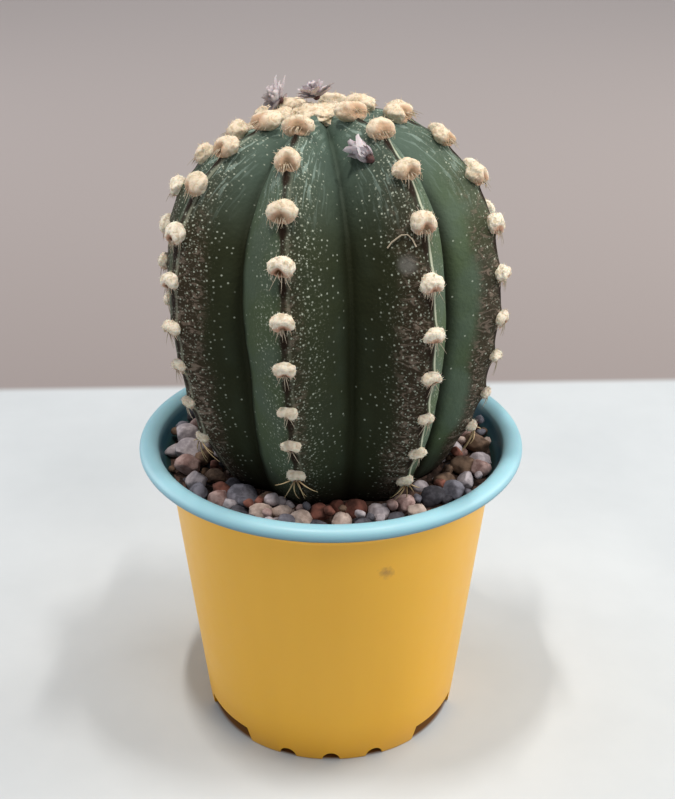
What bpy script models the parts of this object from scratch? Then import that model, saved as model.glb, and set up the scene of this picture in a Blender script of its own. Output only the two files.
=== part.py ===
"""Bishop's cap cactus in an 11 cm growing pot.

A yellow pot with a pale blue inside and rim holds potting soil, a dressing of
pebbles and one ribbed stem with woolly areoles, short spines and three withered
flowers. Metres, +Z up, the front along -Y. The origin is the centre of the foot.
"""

import math
import random

import bmesh
import bpy
from mathutils import Matrix, Vector
from mathutils.bvhtree import BVHTree

MM = 0.001
CLEARANCE = 0.3 * MM

# Pot: thermoformed sheet with a rolled rim, a stacking collar and a raised floor.
POT_HEIGHT = 89.0 * MM
RIM_RADIUS = 55.0 * MM
MOUTH_RADIUS = 49.4 * MM
RIM_BEAD_HEIGHT = 3.8 * MM
SHEET = 1.2 * MM
COLLAR_DEPTH = 5.5 * MM
SHOULDER_DEPTH = 8.0 * MM
WALL_TOP_RADIUS = 46.7 * MM
FOOT_RADIUS = 38.0 * MM
FLOOR_LIFT = 3.0 * MM
BAND_HEIGHT = 7.0 * MM
POT_SIDES = 48

# Drain openings in the foot, as angles round the pot from the front, in degrees.
WIDE_ARCH_ANGLES = (-55, 56, 180)
WIDE_ARCH_WIDTH = 23.0 * MM
WIDE_ARCH_TOP = 19.5 * MM
WIDE_ARCH_HEIGHT = 4.8 * MM
SMALL_NOTCH_CENTRES = (0, 118, -118)
SMALL_NOTCH_STEP = 19.5
SMALL_NOTCH_WIDTH = 5.2 * MM
SMALL_NOTCH_HEIGHT = 2.7 * MM

# Soil and pebble dressing, as depths below the rim.
SOIL_TOP_DEPTH = 16.0 * MM
SOIL_SIDES = 32
BED_TOP_DEPTH = 5.5 * MM
BED_HOLE_DEPTHS = (4.0 * MM, 8.0 * MM, 11.5 * MM)
BED_GAP = 0.9 * MM
HOLE_SEARCH_START = 95.0 * MM
PEBBLE_SIZES = (9.0 * MM, 7.5 * MM, 6.2 * MM)
PEBBLE_TRIES = 1500
PEBBLE_TOP_DEPTH = 0.6 * MM
PEBBLE_REACH = 0.55
PEBBLE_SPACING = 0.8

# The soil's root hole follows the stem's outline from this far along the crest.
ROOT_START = 137.0 * MM
ROOT_GAP = 1.3 * MM
ROOT_RINGS = 8

# Stem: the outline of a rib's crest, as radius and height above the rim.
CREST_OUTLINE = (
    (0.0 * MM, 90.3 * MM),
    (8.0 * MM, 90.9 * MM),
    (18.9 * MM, 90.0 * MM),
    (29.3 * MM, 86.1 * MM),
    (39.8 * MM, 77.6 * MM),
    (46.7 * MM, 65.6 * MM),
    (49.6 * MM, 46.6 * MM),
    (47.3 * MM, 27.8 * MM),
    (43.5 * MM, 13.6 * MM),
    (36.1 * MM, -0.8 * MM),
    (29.5 * MM, -8.5 * MM),
    (18.0 * MM, -14.5 * MM),
    (7.5 * MM, -17.5 * MM),
    (4.5 * MM, -30.0 * MM),
    (0.0 * MM, -46.0 * MM),
)
STEM_OFFSET = Vector((-0.1 * MM, 1.0 * MM, 0.0))
LEAN_BACK = 5.4
LEAN_SIDE = -1.5
LEAN_HEIGHT = 93.5 * MM
VALLEY_DEPTH = 10.4 * MM
FLANK_BULGE = 0.18
CROWN_REACH = 68.0 * MM
RISE_LENGTH = 48.0 * MM
FALL_START = 88.0 * MM
FALL_LENGTH = 68.0 * MM
STEPS_PER_RIB = 8
RINGS = 23

# Each rib: its crest's angle from the front, how far it veers at the crown, how far
# it stands beyond the outline as a share of the valley depth, and how far down the
# crest its first areole lies.
RIBS = (
    (-12.2, -4.2, 0.15, 22.0 * MM),
    (29.5, 4.5, 0.25, 14.2 * MM),
    (67.2, 26.3, -0.02, 20.2 * MM),
    (113.0, 20.0, 0.05, 13.5 * MM),
    (161.0, 13.0, 0.0, 19.0 * MM),
    (210.0, 10.0, -0.1, 13.0 * MM),
    (261.2, 12.9, -0.38, 10.8 * MM),
    (305.6, 1.8, -0.03, 18.2 * MM),
)
UPPER_AREOLE_STEP = 12.9 * MM
LOWER_AREOLE_STEP = 11.0 * MM
LAST_AREOLE = 123.5 * MM
TUFT_WIDTH = 7.6 * MM
TUFT_HEIGHT = 5.4 * MM
CROWN_WOOL = (8.0 * MM, 8.0 * MM, 2.8 * MM)
SPINE_LENGTH = 5.0 * MM
BASE_SPINE_LENGTH = 7.5 * MM
SPINE_RADIUS = 0.32 * MM

# Withered flowers: rib, place across it and along its crest, heading from down and
# rise off the skin in degrees, and length.
DRIED_FLOWERS = (
    (5, 0.35, 12.5 * MM, 0, 40, 9.0 * MM),
    (5, 0.0, 3.0 * MM, 20, 70, 8.5 * MM),
    (1, -0.4, 33.0 * MM, 205, 22, 8.5 * MM),
)
PETALS = 7


def smooth_step(x):
    """Ease from 0 to 1 as x goes from 0 to 1."""
    x = min(1.0, max(0.0, x))
    return x * x * (3 - 2 * x)


def new_material(name, colour, roughness):
    """One Principled material in a plain colour."""
    material = bpy.data.materials.new(name)
    material.use_nodes = True
    shader = material.node_tree.nodes["Principled BSDF"]
    shader.inputs["Base Color"].default_value = (*colour, 1)
    shader.inputs["Roughness"].default_value = roughness
    shader.inputs["Metallic"].default_value = 0
    material.diffuse_color = (*colour, 1)
    return material


def new_collection(name):
    """A collection linked to the scene."""
    collection = bpy.data.collections.new(name)
    bpy.context.scene.collection.children.link(collection)
    return collection


def new_object(name, shape, collection, *materials):
    """Link an object made from a bmesh, which is freed."""
    mesh = bpy.data.meshes.new(name)
    shape.to_mesh(mesh)
    shape.free()
    item = bpy.data.objects.new(name, mesh)
    for material in materials:
        mesh.materials.append(material)
    collection.objects.link(item)
    return item


def apply_modifiers(item):
    """Give the object the mesh that its modifiers make."""
    bpy.context.view_layer.update()
    evaluated = item.evaluated_get(bpy.context.evaluated_depsgraph_get())
    mesh = bpy.data.meshes.new_from_object(evaluated)
    item.modifiers.clear()
    item.data = mesh


def shade(item, angle=40):
    """Smooth shading, sharp across edges over the angle in degrees."""
    item.data.shade_smooth()
    item.data.set_sharp_from_angle(angle=math.radians(angle))


def turn(item, sides):
    """Turn the object's profile round Z with a Screw modifier."""
    screw = item.modifiers.new("turned", "SCREW")
    screw.steps = sides
    screw.render_steps = sides
    screw.use_merge_vertices = True
    screw.merge_threshold = 0.01 * MM
    screw.use_smooth_shade = True


def profile_shape(points):
    """A bmesh with one open line through (radius, height) points."""
    shape = bmesh.new()
    corners = [shape.verts.new((radius, 0, height)) for radius, height in points]
    for first, second in zip(corners, corners[1:]):
        shape.edges.new((first, second))
    return shape


def fuse(item, extras):
    """Join every object of a collection to the item, and remove the collection."""
    union = item.modifiers.new("fused", "BOOLEAN")
    union.operation = "UNION"
    union.operand_type = "COLLECTION"
    union.collection = extras
    union.solver = "EXACT"
    union.material_mode = "TRANSFER"
    apply_modifiers(item)
    for extra in list(extras.objects):
        bpy.data.objects.remove(extra)
    bpy.data.collections.remove(extras)
    tidy_mesh(item)


def tidy_mesh(item):
    """Clear the sealed hollows, scraps and slivers that fusing leaves, in triangles."""
    shape = bmesh.new()
    shape.from_mesh(item.data)
    keep_outer_skin(shape)
    bmesh.ops.remove_doubles(shape, verts=shape.verts, dist=0.005 * MM)
    bmesh.ops.dissolve_degenerate(shape, dist=0.005 * MM, edges=shape.edges)
    keep_outer_skin(shape)
    bmesh.ops.triangulate(shape, faces=shape.faces)
    shape.to_mesh(item.data)
    shape.free()


def keep_outer_skin(shape):
    """Delete every closed skin but the largest, which is the outside of the body."""
    for skin in sorted(connected_skins(shape), key=len)[:-1]:
        bmesh.ops.delete(shape, geom=skin, context="FACES")


def connected_skins(shape):
    """The faces of each closed skin in the shape: those that share edges."""
    waiting = set(shape.faces)
    skins = []
    while waiting:
        front = [waiting.pop()]
        skin = []
        while front:
            face = front.pop()
            skin.append(face)
            for edge in face.edges:
                for beside in edge.link_faces:
                    if beside in waiting:
                        waiting.remove(beside)
                        front.append(beside)
        skins.append(skin)
    return skins


def arc(centre_radius, centre_height, size, start, end, count):
    """Points along an arc in the profile plane, angles in degrees."""
    points = []
    for index in range(count + 1):
        angle = math.radians(start + (end - start) * index / count)
        points.append((centre_radius + size[0] * math.cos(angle),
                       centre_height + size[1] * math.sin(angle)))
    return points


def wall_radius(height):
    """Outer radius of the tapered wall at a height."""
    shoulder = POT_HEIGHT - SHOULDER_DEPTH
    return FOOT_RADIUS + (WALL_TOP_RADIUS - FOOT_RADIUS) * height / shoulder


def pot_profile():
    """From the middle of the floor, up the inside, over the rim and down to the foot."""
    floor_top = FLOOR_LIFT + SHEET
    collar = MOUTH_RADIUS - 1.0 * MM
    shoulder_height = POT_HEIGHT - SHOULDER_DEPTH
    lip_centre = (MOUTH_RADIUS + RIM_RADIUS) / 2
    lip_size = ((RIM_RADIUS - MOUTH_RADIUS) / 2, RIM_BEAD_HEIGHT / 2)
    bead_height = POT_HEIGHT - lip_size[1]
    inside = [
        (0, floor_top),
        (wall_radius(floor_top) - SHEET - 1.5 * MM, floor_top),
        (wall_radius(floor_top) - SHEET, floor_top + 1.5 * MM),
        (wall_radius(shoulder_height) - SHEET, shoulder_height),
        (collar, POT_HEIGHT - COLLAR_DEPTH),
    ]
    bead = arc(lip_centre, bead_height, lip_size, 180, -90, 6)
    outside = [
        (collar + SHEET, POT_HEIGHT - RIM_BEAD_HEIGHT + 0.4 * MM),
        (collar + SHEET, POT_HEIGHT - COLLAR_DEPTH - 0.5 * MM),
        (WALL_TOP_RADIUS, shoulder_height - 0.8 * MM),
        (wall_radius(BAND_HEIGHT), BAND_HEIGHT),
        (FOOT_RADIUS, 0.5 * MM),
        (FOOT_RADIUS - 0.4 * MM, 0),
        (FOOT_RADIUS - SHEET - 0.4 * MM, 0),
        (FOOT_RADIUS - SHEET - 0.2 * MM, FLOOR_LIFT),
        (0, FLOOR_LIFT),
    ]
    return inside + bead + outside


def wide_arch_cutter(collection, angle):
    """A block with sloped ends that cuts one wide arch through the foot."""
    shape = bmesh.new()
    bmesh.ops.create_cube(shape, size=1)
    for corner in shape.verts:
        top = corner.co.z > 0
        width = WIDE_ARCH_TOP if top else WIDE_ARCH_WIDTH
        corner.co.x = math.copysign(width / 2, corner.co.x)
        corner.co.y = -FOOT_RADIUS + corner.co.y * 10 * MM
        corner.co.z = WIDE_ARCH_HEIGHT if top else -2 * MM
    return place_cutter(shape, collection, angle)


def small_notch_cutter(collection, angle):
    """A lying cylinder that cuts one half-round notch through the foot."""
    shape = bmesh.new()
    bmesh.ops.create_cone(shape, cap_ends=True, segments=14, radius1=1, radius2=1, depth=1)
    lie_down = Matrix.Rotation(math.radians(90), 4, "X")
    size = Matrix.Diagonal((SMALL_NOTCH_WIDTH / 2, 9 * MM, SMALL_NOTCH_HEIGHT, 1))
    out = Matrix.Translation((0, -FOOT_RADIUS, 0))
    bmesh.ops.transform(shape, matrix=out @ size @ lie_down, verts=shape.verts)
    return place_cutter(shape, collection, angle)


def place_cutter(shape, collection, angle):
    """Turn a cutter made at the front to its angle round the pot, and hide it."""
    cutter = new_object("drain cutter", shape, collection)
    cutter.rotation_euler.z = math.radians(angle)
    cutter.hide_render = True
    cutter.display_type = "WIRE"
    return cutter


def make_pot(collection, cutters):
    """The turned pot, cut by its drain openings, blue where the inner sheet shows."""
    yellow = new_material("yellow polypropylene", (0.62, 0.32, 0.045), 0.42)
    blue = new_material("pale blue polypropylene", (0.38, 0.66, 0.72), 0.38)
    pot = new_object("pot", profile_shape(pot_profile()), collection, yellow, blue)
    turn(pot, POT_SIDES)
    for angle in WIDE_ARCH_ANGLES:
        wide_arch_cutter(cutters, angle)
    for centre in SMALL_NOTCH_CENTRES:
        for step in (-1, 0, 1):
            small_notch_cutter(cutters, centre + step * SMALL_NOTCH_STEP)
    for cutter in cutters.objects:
        cut = pot.modifiers.new("drain", "BOOLEAN")
        cut.operation = "DIFFERENCE"
        cut.object = cutter
        cut.solver = "EXACT"
    apply_modifiers(pot)
    under_bead = POT_HEIGHT - RIM_BEAD_HEIGHT + 0.2 * MM
    for face in pot.data.polygons:
        middle = face.center
        radius = math.hypot(middle.x, middle.y)
        inside = radius < wall_radius(middle.z) - SHEET / 2 and middle.z > FLOOR_LIFT + SHEET / 2
        in_collar = middle.z > POT_HEIGHT - SHOULDER_DEPTH and radius < MOUTH_RADIUS - 0.2 * MM
        face.material_index = 1 if inside or in_collar or middle.z > under_bead else 0
    shade(pot)
    return pot


def root_cutter(collection):
    """A turned cutter for the soil's hole: the stem's foot and root, a little wider."""
    points = []
    for index in range(ROOT_RINGS + 1):
        distance = ROOT_START + (CREST_LENGTH - ROOT_START) * index / ROOT_RINGS
        point, normal, _ = outline_at(distance)
        point = point + normal * ROOT_GAP
        points.append((max(point.x, ROOT_GAP), POT_HEIGHT + point.y))
    high = points[0][1] + 4 * MM
    outside = [(0, high), (points[0][0], high), *points, (0, points[-1][1])]
    cutter = new_object("root cutter", profile_shape(outside), collection)
    cutter.location = STEM_OFFSET
    turn(cutter, 20)
    cutter.hide_render = True
    cutter.display_type = "WIRE"
    return cutter


def make_soil(collection, cutters):
    """Potting soil that fills the pot, with a plain hole for the root."""
    top = POT_HEIGHT - SOIL_TOP_DEPTH
    floor_top = FLOOR_LIFT + SHEET
    gap = SHEET + 2 * CLEARANCE
    edge = 1.5 * MM
    points = [
        (0, top),
        (wall_radius(top) - gap - edge, top),
        (wall_radius(top - edge) - gap, top - edge),
        (wall_radius(floor_top + edge) - gap, floor_top + edge + CLEARANCE),
        (wall_radius(floor_top) - gap - edge, floor_top + CLEARANCE),
        (0, floor_top + CLEARANCE),
    ]
    peat = new_material("peaty soil", (0.045, 0.03, 0.02), 0.95)
    soil = new_object("soil", profile_shape(points), collection, peat)
    turn(soil, SOIL_SIDES)
    cut = soil.modifiers.new("root hole", "BOOLEAN")
    cut.operation = "DIFFERENCE"
    cut.object = root_cutter(cutters)
    cut.solver = "EXACT"
    apply_modifiers(soil)
    shade(soil, 30)
    return soil


def outline_samples(points, per_span=24):
    """A smooth curve through the crest outline, with its running length."""
    ghost_start = (-points[1][0], points[1][1])
    ghost_end = (-points[-2][0], points[-2][1])
    path = [Vector(p) for p in (ghost_start, *points, ghost_end)]
    curve = []
    for index in range(1, len(path) - 2):
        before, start, end, after = path[index - 1:index + 3]
        for step in range(per_span):
            t = step / per_span
            curve.append(0.5 * ((2 * start) + (end - before) * t
                                + (2 * before - 5 * start + 4 * end - after) * t * t
                                + (3 * start - before - 3 * end + after) * t ** 3))
    curve.append(path[-2])
    lengths = [0.0]
    for first, second in zip(curve, curve[1:]):
        lengths.append(lengths[-1] + (second - first).length)
    return curve, lengths


OUTLINE, OUTLINE_LENGTHS = outline_samples(CREST_OUTLINE)
CREST_LENGTH = OUTLINE_LENGTHS[-1]


def outline_at(distance):
    """Point and outward normal of the crest outline, that far from the crown."""
    distance = min(max(distance, 0.0), CREST_LENGTH)
    index = 1
    while OUTLINE_LENGTHS[index] < distance:
        index += 1
    start, end = OUTLINE[index - 1], OUTLINE[index]
    share = (distance - OUTLINE_LENGTHS[index - 1]) / (end - start).length
    along = (end - start).normalized()
    return start.lerp(end, share), Vector((-along.y, along.x)), along


def crest_angle(rib, distance):
    """Angle of a rib's crest round the stem, in degrees."""
    turns, index = divmod(rib, len(RIBS))
    angle, veer, _, _ = RIBS[index]
    return angle + 360 * turns + veer * smooth_step(1 - distance / CROWN_REACH)


def valley_depth(distance):
    """How deep the valleys lie below the crests, that far from the crown."""
    rise = math.sin(min(1.0, distance / RISE_LENGTH) * math.pi / 2) ** 0.85
    fall = 1 - smooth_step((distance - FALL_START) / FALL_LENGTH)
    return VALLEY_DEPTH * rise * fall


def on_axis(radius, angle, height):
    """A point of the stem from its radius, angle in degrees and height above the rim."""
    turned = math.radians(angle)
    point = Vector((radius * math.sin(turned), -radius * math.cos(turned), height))
    share = min(1.0, max(0.0, height / LEAN_HEIGHT))
    back = Matrix.Rotation(math.radians(-LEAN_BACK * share), 3, "X")
    side = Matrix.Rotation(math.radians(LEAN_SIDE * share), 3, "Y")
    return side @ back @ point + STEM_OFFSET + Vector((0, 0, POT_HEIGHT))


def stem_point(rib, across, distance):
    """A point of the stem: across goes from -1 and 1 in the valleys to 0 on the crest."""
    point, normal, _ = outline_at(distance)
    side = 1 if across >= 0 else -1
    here = crest_angle(rib, distance)
    half_gap = (crest_angle(rib + side, distance) - here) / 2
    across = abs(across)
    depth = (1 - FLANK_BULGE) * across + FLANK_BULGE * across ** 3
    depth -= RIBS[rib % len(RIBS)][2] * (1 - depth)
    point = point - normal * valley_depth(distance) * depth
    return on_axis(max(point.x, 0.0), here + half_gap * across, point.y)


def skin_frame(rib, across, distance):
    """Place on the stem, with the directions down it, across it and out of it."""
    step = 0.5 * MM
    place = stem_point(rib, across, distance)
    down = stem_point(rib, across, distance + step) - stem_point(rib, across, distance - step)
    beside = stem_point(rib, across + 0.1, distance) - stem_point(rib, across - 0.1, distance)
    out = down.cross(beside).normalized()
    down.normalize()
    return place, down, out.cross(down), out


def frame_matrix(place, down, across, out):
    """A matrix that takes X to down, Y to across and Z to out."""
    matrix = Matrix((down, across, out)).transposed().to_4x4()
    matrix.translation = place
    return matrix


def make_stem_body(collection, material):
    """The ribbed stem and its root, raised from a sphere's grid by the rib formula."""
    columns = len(RIBS) * STEPS_PER_RIB
    shape = bmesh.new()
    bmesh.ops.create_uvsphere(shape, u_segments=columns, v_segments=RINGS, radius=1)
    for corner in shape.verts:
        ring = math.acos(max(-1.0, min(1.0, corner.co.z))) / math.pi
        around = math.atan2(corner.co.x, -corner.co.y) / (2 * math.pi) * len(RIBS)
        column = round(around * STEPS_PER_RIB) % columns
        rib = (column + STEPS_PER_RIB // 2) // STEPS_PER_RIB
        across = (column - rib * STEPS_PER_RIB) / (STEPS_PER_RIB / 2)
        corner.co = stem_point(rib, across, CREST_LENGTH * ring)
    bmesh.ops.recalc_face_normals(shape, faces=shape.faces)
    return new_object("stem", shape, collection, material)


def areole_places(rib):
    """Distances of a rib's areoles from the crown."""
    distance = RIBS[rib][3]
    places = []
    while distance <= LAST_AREOLE:
        places.append(distance)
        lower = smooth_step((distance - 40 * MM) / (45 * MM))
        distance += UPPER_AREOLE_STEP + (LOWER_AREOLE_STEP - UPPER_AREOLE_STEP) * lower
    return places


def tuft_scale(distance):
    """Tufts are largest by the crown and shrink down the rib, where the wool wears away."""
    crowded = smooth_step((34 * MM - distance) / (18 * MM))
    worn = smooth_step((distance - 60 * MM) / (60 * MM))
    return 1.0 + 0.2 * crowded - 0.35 * worn


def add_tuft(collection, material, frame, scale, draw):
    """One woolly areole: a low dome sunk into the crest."""
    shape = bmesh.new()
    bmesh.ops.create_uvsphere(shape, u_segments=7, v_segments=4, radius=0.5)
    length = TUFT_WIDTH * scale * draw.uniform(0.82, 1.0)
    width = TUFT_WIDTH * scale * draw.uniform(0.95, 1.12)
    size = Matrix.Diagonal((length, width, TUFT_HEIGHT * scale, 1))
    twist = Matrix.Rotation(draw.uniform(0, math.pi), 4, "Z")
    lift = Matrix.Translation((0, 0, 0.10 * TUFT_HEIGHT * scale))
    bmesh.ops.transform(shape, matrix=frame @ lift @ size @ twist, verts=shape.verts)
    new_object("tuft", shape, collection, material)


def add_spine(collection, material, frame, heading, rise, length, start):
    """One spine: a thin pyramid from inside the tuft, heading in degrees from down."""
    shape = bmesh.new()
    bmesh.ops.create_cone(shape, cap_ends=True, segments=3, radius1=SPINE_RADIUS,
                          radius2=0, depth=length)
    angle = math.radians(heading)
    lift = math.radians(rise)
    direction = Vector((math.cos(angle) * math.cos(lift),
                        math.sin(angle) * math.cos(lift), math.sin(lift)))
    turned = direction.to_track_quat("Z", "Y").to_matrix().to_4x4()
    middle = Matrix.Translation(direction * (length / 2 + start) + Vector((0, 0, 0.9 * MM)))
    bmesh.ops.transform(shape, matrix=frame @ middle @ turned, verts=shape.verts)
    new_object("spine", shape, collection, material)


def make_stem(collection):
    """The stem with its areoles, spines and woolly crown fused to it."""
    green = new_material("cactus skin", (0.035, 0.062, 0.028), 0.6)
    cream = new_material("areole wool", (0.66, 0.58, 0.44), 0.95)
    straw = new_material("spine", (0.45, 0.33, 0.16), 0.6)
    stem = make_stem_body(collection, green)
    growths = new_collection("stem growths")
    draw = random.Random(11)
    for rib in range(len(RIBS)):
        places = areole_places(rib)
        for distance in places:
            place = distance + draw.uniform(-0.5, 0.5) * MM
            frame = frame_matrix(*skin_frame(rib, 0, place))
            scale = tuft_scale(distance)
            add_tuft(growths, cream, frame, scale, draw)
            last = distance == places[-1]
            headings = (-70, -24, 24, 70) if last else (-28, 28)
            length = BASE_SPINE_LENGTH if last else SPINE_LENGTH
            rise = 40 if last else 24
            for heading in headings:
                turned = heading + draw.uniform(-8, 8)
                size = length * draw.uniform(0.9, 1.1)
                add_spine(growths, straw, frame, turned, rise, size, 1.6 * MM * scale)
    crown = bmesh.new()
    bmesh.ops.create_uvsphere(crown, u_segments=12, v_segments=5, radius=1)
    size = Matrix.Diagonal((*CROWN_WOOL, 1))
    place = Matrix.Translation(stem_point(0, 0, 0))
    bmesh.ops.transform(crown, matrix=place @ size, verts=crown.verts)
    new_object("crown wool", crown, growths, cream)
    fuse(stem, growths)
    shade(stem, 50)
    return stem


def solid_tree(item):
    """A search tree over the object's faces."""
    shape = bmesh.new()
    shape.from_mesh(item.data)
    tree = BVHTree.FromBMesh(shape)
    shape.free()
    return tree


def rib_columns():
    """Each column of the stem's grid: its rib, and its place across the rib."""
    for column in range(len(RIBS) * STEPS_PER_RIB):
        rib = (column + STEPS_PER_RIB // 2) // STEPS_PER_RIB
        yield rib, (column - rib * STEPS_PER_RIB) / (STEPS_PER_RIB / 2)


def hole_point(rib, across, depth):
    """A point just clear of the stem, at a depth below the rim."""
    height = POT_HEIGHT - depth
    distance = HOLE_SEARCH_START
    above = stem_point(rib, across, distance)
    below = above
    while below.z > height:
        distance += 1 * MM
        above, below = below, stem_point(rib, across, distance)
    point = above.lerp(below, (above.z - height) / (above.z - below.z))
    axis = on_axis(0, 0, -depth)
    return point + (point - axis).normalized() * BED_GAP


def make_bed(collection, material):
    """The packed lower pebbles: a ring whose hole follows the ribs, just clear of them."""
    bottom = POT_HEIGHT - SOIL_TOP_DEPTH + CLEARANCE
    shoulder = POT_HEIGHT - SHOULDER_DEPTH - CLEARANCE
    wall_gap = SHEET + 2 * CLEARANCE
    outline = (
        (wall_radius(bottom) - wall_gap, bottom),
        (wall_radius(shoulder) - wall_gap, shoulder),
        (wall_radius(shoulder) - wall_gap, POT_HEIGHT - BED_TOP_DEPTH),
    )
    shape = bmesh.new()
    rings = []
    for radius, height in outline:
        ring = []
        for rib, across in rib_columns():
            angle = math.radians(360 / len(RIBS)) * (rib + across / 2)
            corner = (radius * math.sin(angle), -radius * math.cos(angle), height)
            ring.append(shape.verts.new(corner))
        rings.append(ring)
    for depth in BED_HOLE_DEPTHS:
        rings.append([shape.verts.new(hole_point(*column, depth)) for column in rib_columns()])
    rings.append([shape.verts.new((corner.co.x, corner.co.y, bottom)) for corner in rings[-1]])
    for ring, above in zip(rings, rings[1:] + rings[:1]):
        for column, corner in enumerate(ring):
            beside = (column + 1) % len(ring)
            shape.faces.new((corner, ring[beside], above[beside], above[column]))
    bmesh.ops.recalc_face_normals(shape, faces=shape.faces)
    return new_object("gravel", shape, collection, material)


def pebble_shape(size, draw):
    """A rounded stone: a coarse ball pushed in unevenly."""
    shape = bmesh.new()
    bmesh.ops.create_uvsphere(shape, u_segments=7, v_segments=4, radius=0.52)
    tumble = Matrix.Rotation(draw.uniform(0.3, 1.2), 4, "X")
    bmesh.ops.transform(shape, matrix=tumble, verts=shape.verts)
    lean = Vector((draw.uniform(-1, 1), draw.uniform(-1, 1), draw.uniform(-1, 1)))
    for corner in shape.verts:
        corner.co *= 1 - 0.12 * max(0.0, corner.co.normalized().dot(lean))
    stretch = (size * draw.uniform(0.9, 1.15), size * draw.uniform(0.8, 1.0),
               size * draw.uniform(0.7, 0.85), 1)
    turned = Matrix.Rotation(draw.uniform(0, math.pi), 4, "Z")
    bmesh.ops.transform(shape, matrix=turned @ Matrix.Diagonal(stretch), verts=shape.verts)
    return shape


def is_inside(tree, place):
    """Whether a place lies inside the tree's closed solid, by the faces over it."""
    up = Vector((0, 0, 1))
    faces_over = 0
    hit = tree.ray_cast(place, up)[0]
    while hit:
        faces_over += 1
        hit = tree.ray_cast(hit + up * 0.001 * MM, up)[0]
    return faces_over % 2 == 1


def pebble_places(stem, pot, draw):
    """Places and sizes of the upper pebbles, large ones first, clear of stem and wall."""
    stem_tree = solid_tree(stem)
    pot_tree = solid_tree(pot)
    stones = []
    for size in PEBBLE_SIZES:
        room = PEBBLE_REACH * size + CLEARANCE
        for _ in range(PEBBLE_TRIES):
            angle = draw.uniform(0, 2 * math.pi)
            reach = math.sqrt(draw.uniform(0.3, 1)) * MOUTH_RADIUS
            depth = PEBBLE_TOP_DEPTH + draw.uniform(0, 2.2) * MM + 0.4 * size
            place = Vector((reach * math.sin(angle), -reach * math.cos(angle),
                            POT_HEIGHT - depth))
            near = any((place - other).length < PEBBLE_SPACING * (size + across) / 2
                       for other, across in stones)
            touching = (stem_tree.find_nearest(place)[3] < room
                        or pot_tree.find_nearest(place)[3] < room)
            if not near and not touching and not is_inside(stem_tree, place):
                stones.append((place, size))
    return stones


def make_gravel(collection, stem, pot):
    """The pebble dressing: one bed with the upper stones fused into it."""
    stones = [
        new_material("grey stone", (0.19, 0.18, 0.19), 0.7),
        new_material("pink stone", (0.34, 0.24, 0.21), 0.7),
        new_material("brick red stone", (0.26, 0.10, 0.07), 0.7),
        new_material("cream stone", (0.50, 0.42, 0.35), 0.7),
    ]
    bed = make_bed(collection, stones[0])
    pebbles = new_collection("pebbles")
    draw = random.Random(4)
    for place, size in pebble_places(stem, pot, draw):
        shape = pebble_shape(size, draw)
        bmesh.ops.translate(shape, vec=place, verts=shape.verts)
        new_object("pebble", shape, pebbles, draw.choice(stones))
    fuse(bed, pebbles)
    shade(bed, 60)
    return bed


def settle(item, stem, direction):
    """Bring the object down against the direction until it lies just clear of the stem."""
    step = 0.1 * MM
    stem_tree = solid_tree(stem)
    own_tree = solid_tree(item)
    own = [corner.co.copy() for corner in item.data.vertices]
    near = [corner.co for corner in stem.data.vertices
            if own_tree.find_nearest(corner.co)[3] < 15 * MM]
    moved = 0.0
    gap = 1.0
    while gap > CLEARANCE + step:
        moved += step
        shift = direction * moved
        gap = min(min(stem_tree.find_nearest(place - shift)[3] for place in own),
                  min(own_tree.find_nearest(place + shift)[3] for place in near))
    for corner in item.data.vertices:
        corner.co -= direction * moved


def make_dried_flower(collection, material, stem, number, flower):
    """A withered flower: narrow papery petals that rise from one dried base."""
    rib, across, distance, heading, rise, length = flower
    place, down, beside, out = skin_frame(rib, across, distance)
    heading = math.radians(heading)
    rise = math.radians(rise)
    along = (down * math.cos(heading) + beside * math.sin(heading)) * math.cos(rise)
    along += out * math.sin(rise)
    turned = along.to_track_quat("Z", "Y").to_matrix().to_4x4()
    frame = Matrix.Translation(place + out * 9 * MM) @ turned
    draw = random.Random(30 + number)
    shape = bmesh.new()
    bmesh.ops.create_uvsphere(shape, u_segments=8, v_segments=5, radius=1)
    core = Matrix.Translation((0, 0, length * 0.27)) @ Matrix.Diagonal(
        (length * 0.18, length * 0.18, length * 0.27, 1))
    bmesh.ops.transform(shape, matrix=frame @ core, verts=shape.verts)
    item = new_object("dried_flower_%d" % number, shape, collection, material)
    petals = new_collection("petals")
    for index in range(PETALS):
        petal = bmesh.new()
        bmesh.ops.create_uvsphere(petal, u_segments=4, v_segments=4, radius=1)
        reach = length * draw.uniform(0.38, 0.48)
        size = Matrix.Diagonal((0.5 * MM, length * 0.14, reach, 1))
        tilt = Matrix.Rotation(math.radians(draw.uniform(10, 38)), 4, "Y")
        spin = Matrix.Rotation(2 * math.pi * (index + draw.uniform(-0.2, 0.2)) / PETALS, 4, "Z")
        lift = Matrix.Translation((0, 0, reach * 0.9))
        raised = Matrix.Translation((0, 0, 0.9 * MM))
        matrix = frame @ raised @ spin @ tilt @ lift @ size
        bmesh.ops.transform(petal, matrix=matrix, verts=petal.verts)
        new_object("petal", petal, petals, material)
    fuse(item, petals)
    settle(item, stem, out)
    shade(item, 60)
    return item


def main():
    """Clear the scene and build every piece."""
    for item in list(bpy.data.objects):
        bpy.data.objects.remove(item)
    plant = new_collection("potted bishop's cap cactus")
    cutters = new_collection("cutters")
    pot = make_pot(plant, cutters)
    make_soil(plant, cutters)
    stem = make_stem(plant)
    make_gravel(plant, stem, pot)
    papery = new_material("withered petals", (0.30, 0.26, 0.27), 0.9)
    for number, flower in enumerate(DRIED_FLOWERS, start=1):
        make_dried_flower(plant, papery, stem, number, flower)


main()
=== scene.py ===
"""Bishop's cap cactus in its growing pot: finishes, fine pieces, floor, light and camera."""

import math
import random

import bmesh
import bpy
import numpy as np
from mathutils import Matrix, Vector, noise
from mathutils.bvhtree import BVHTree


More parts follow.
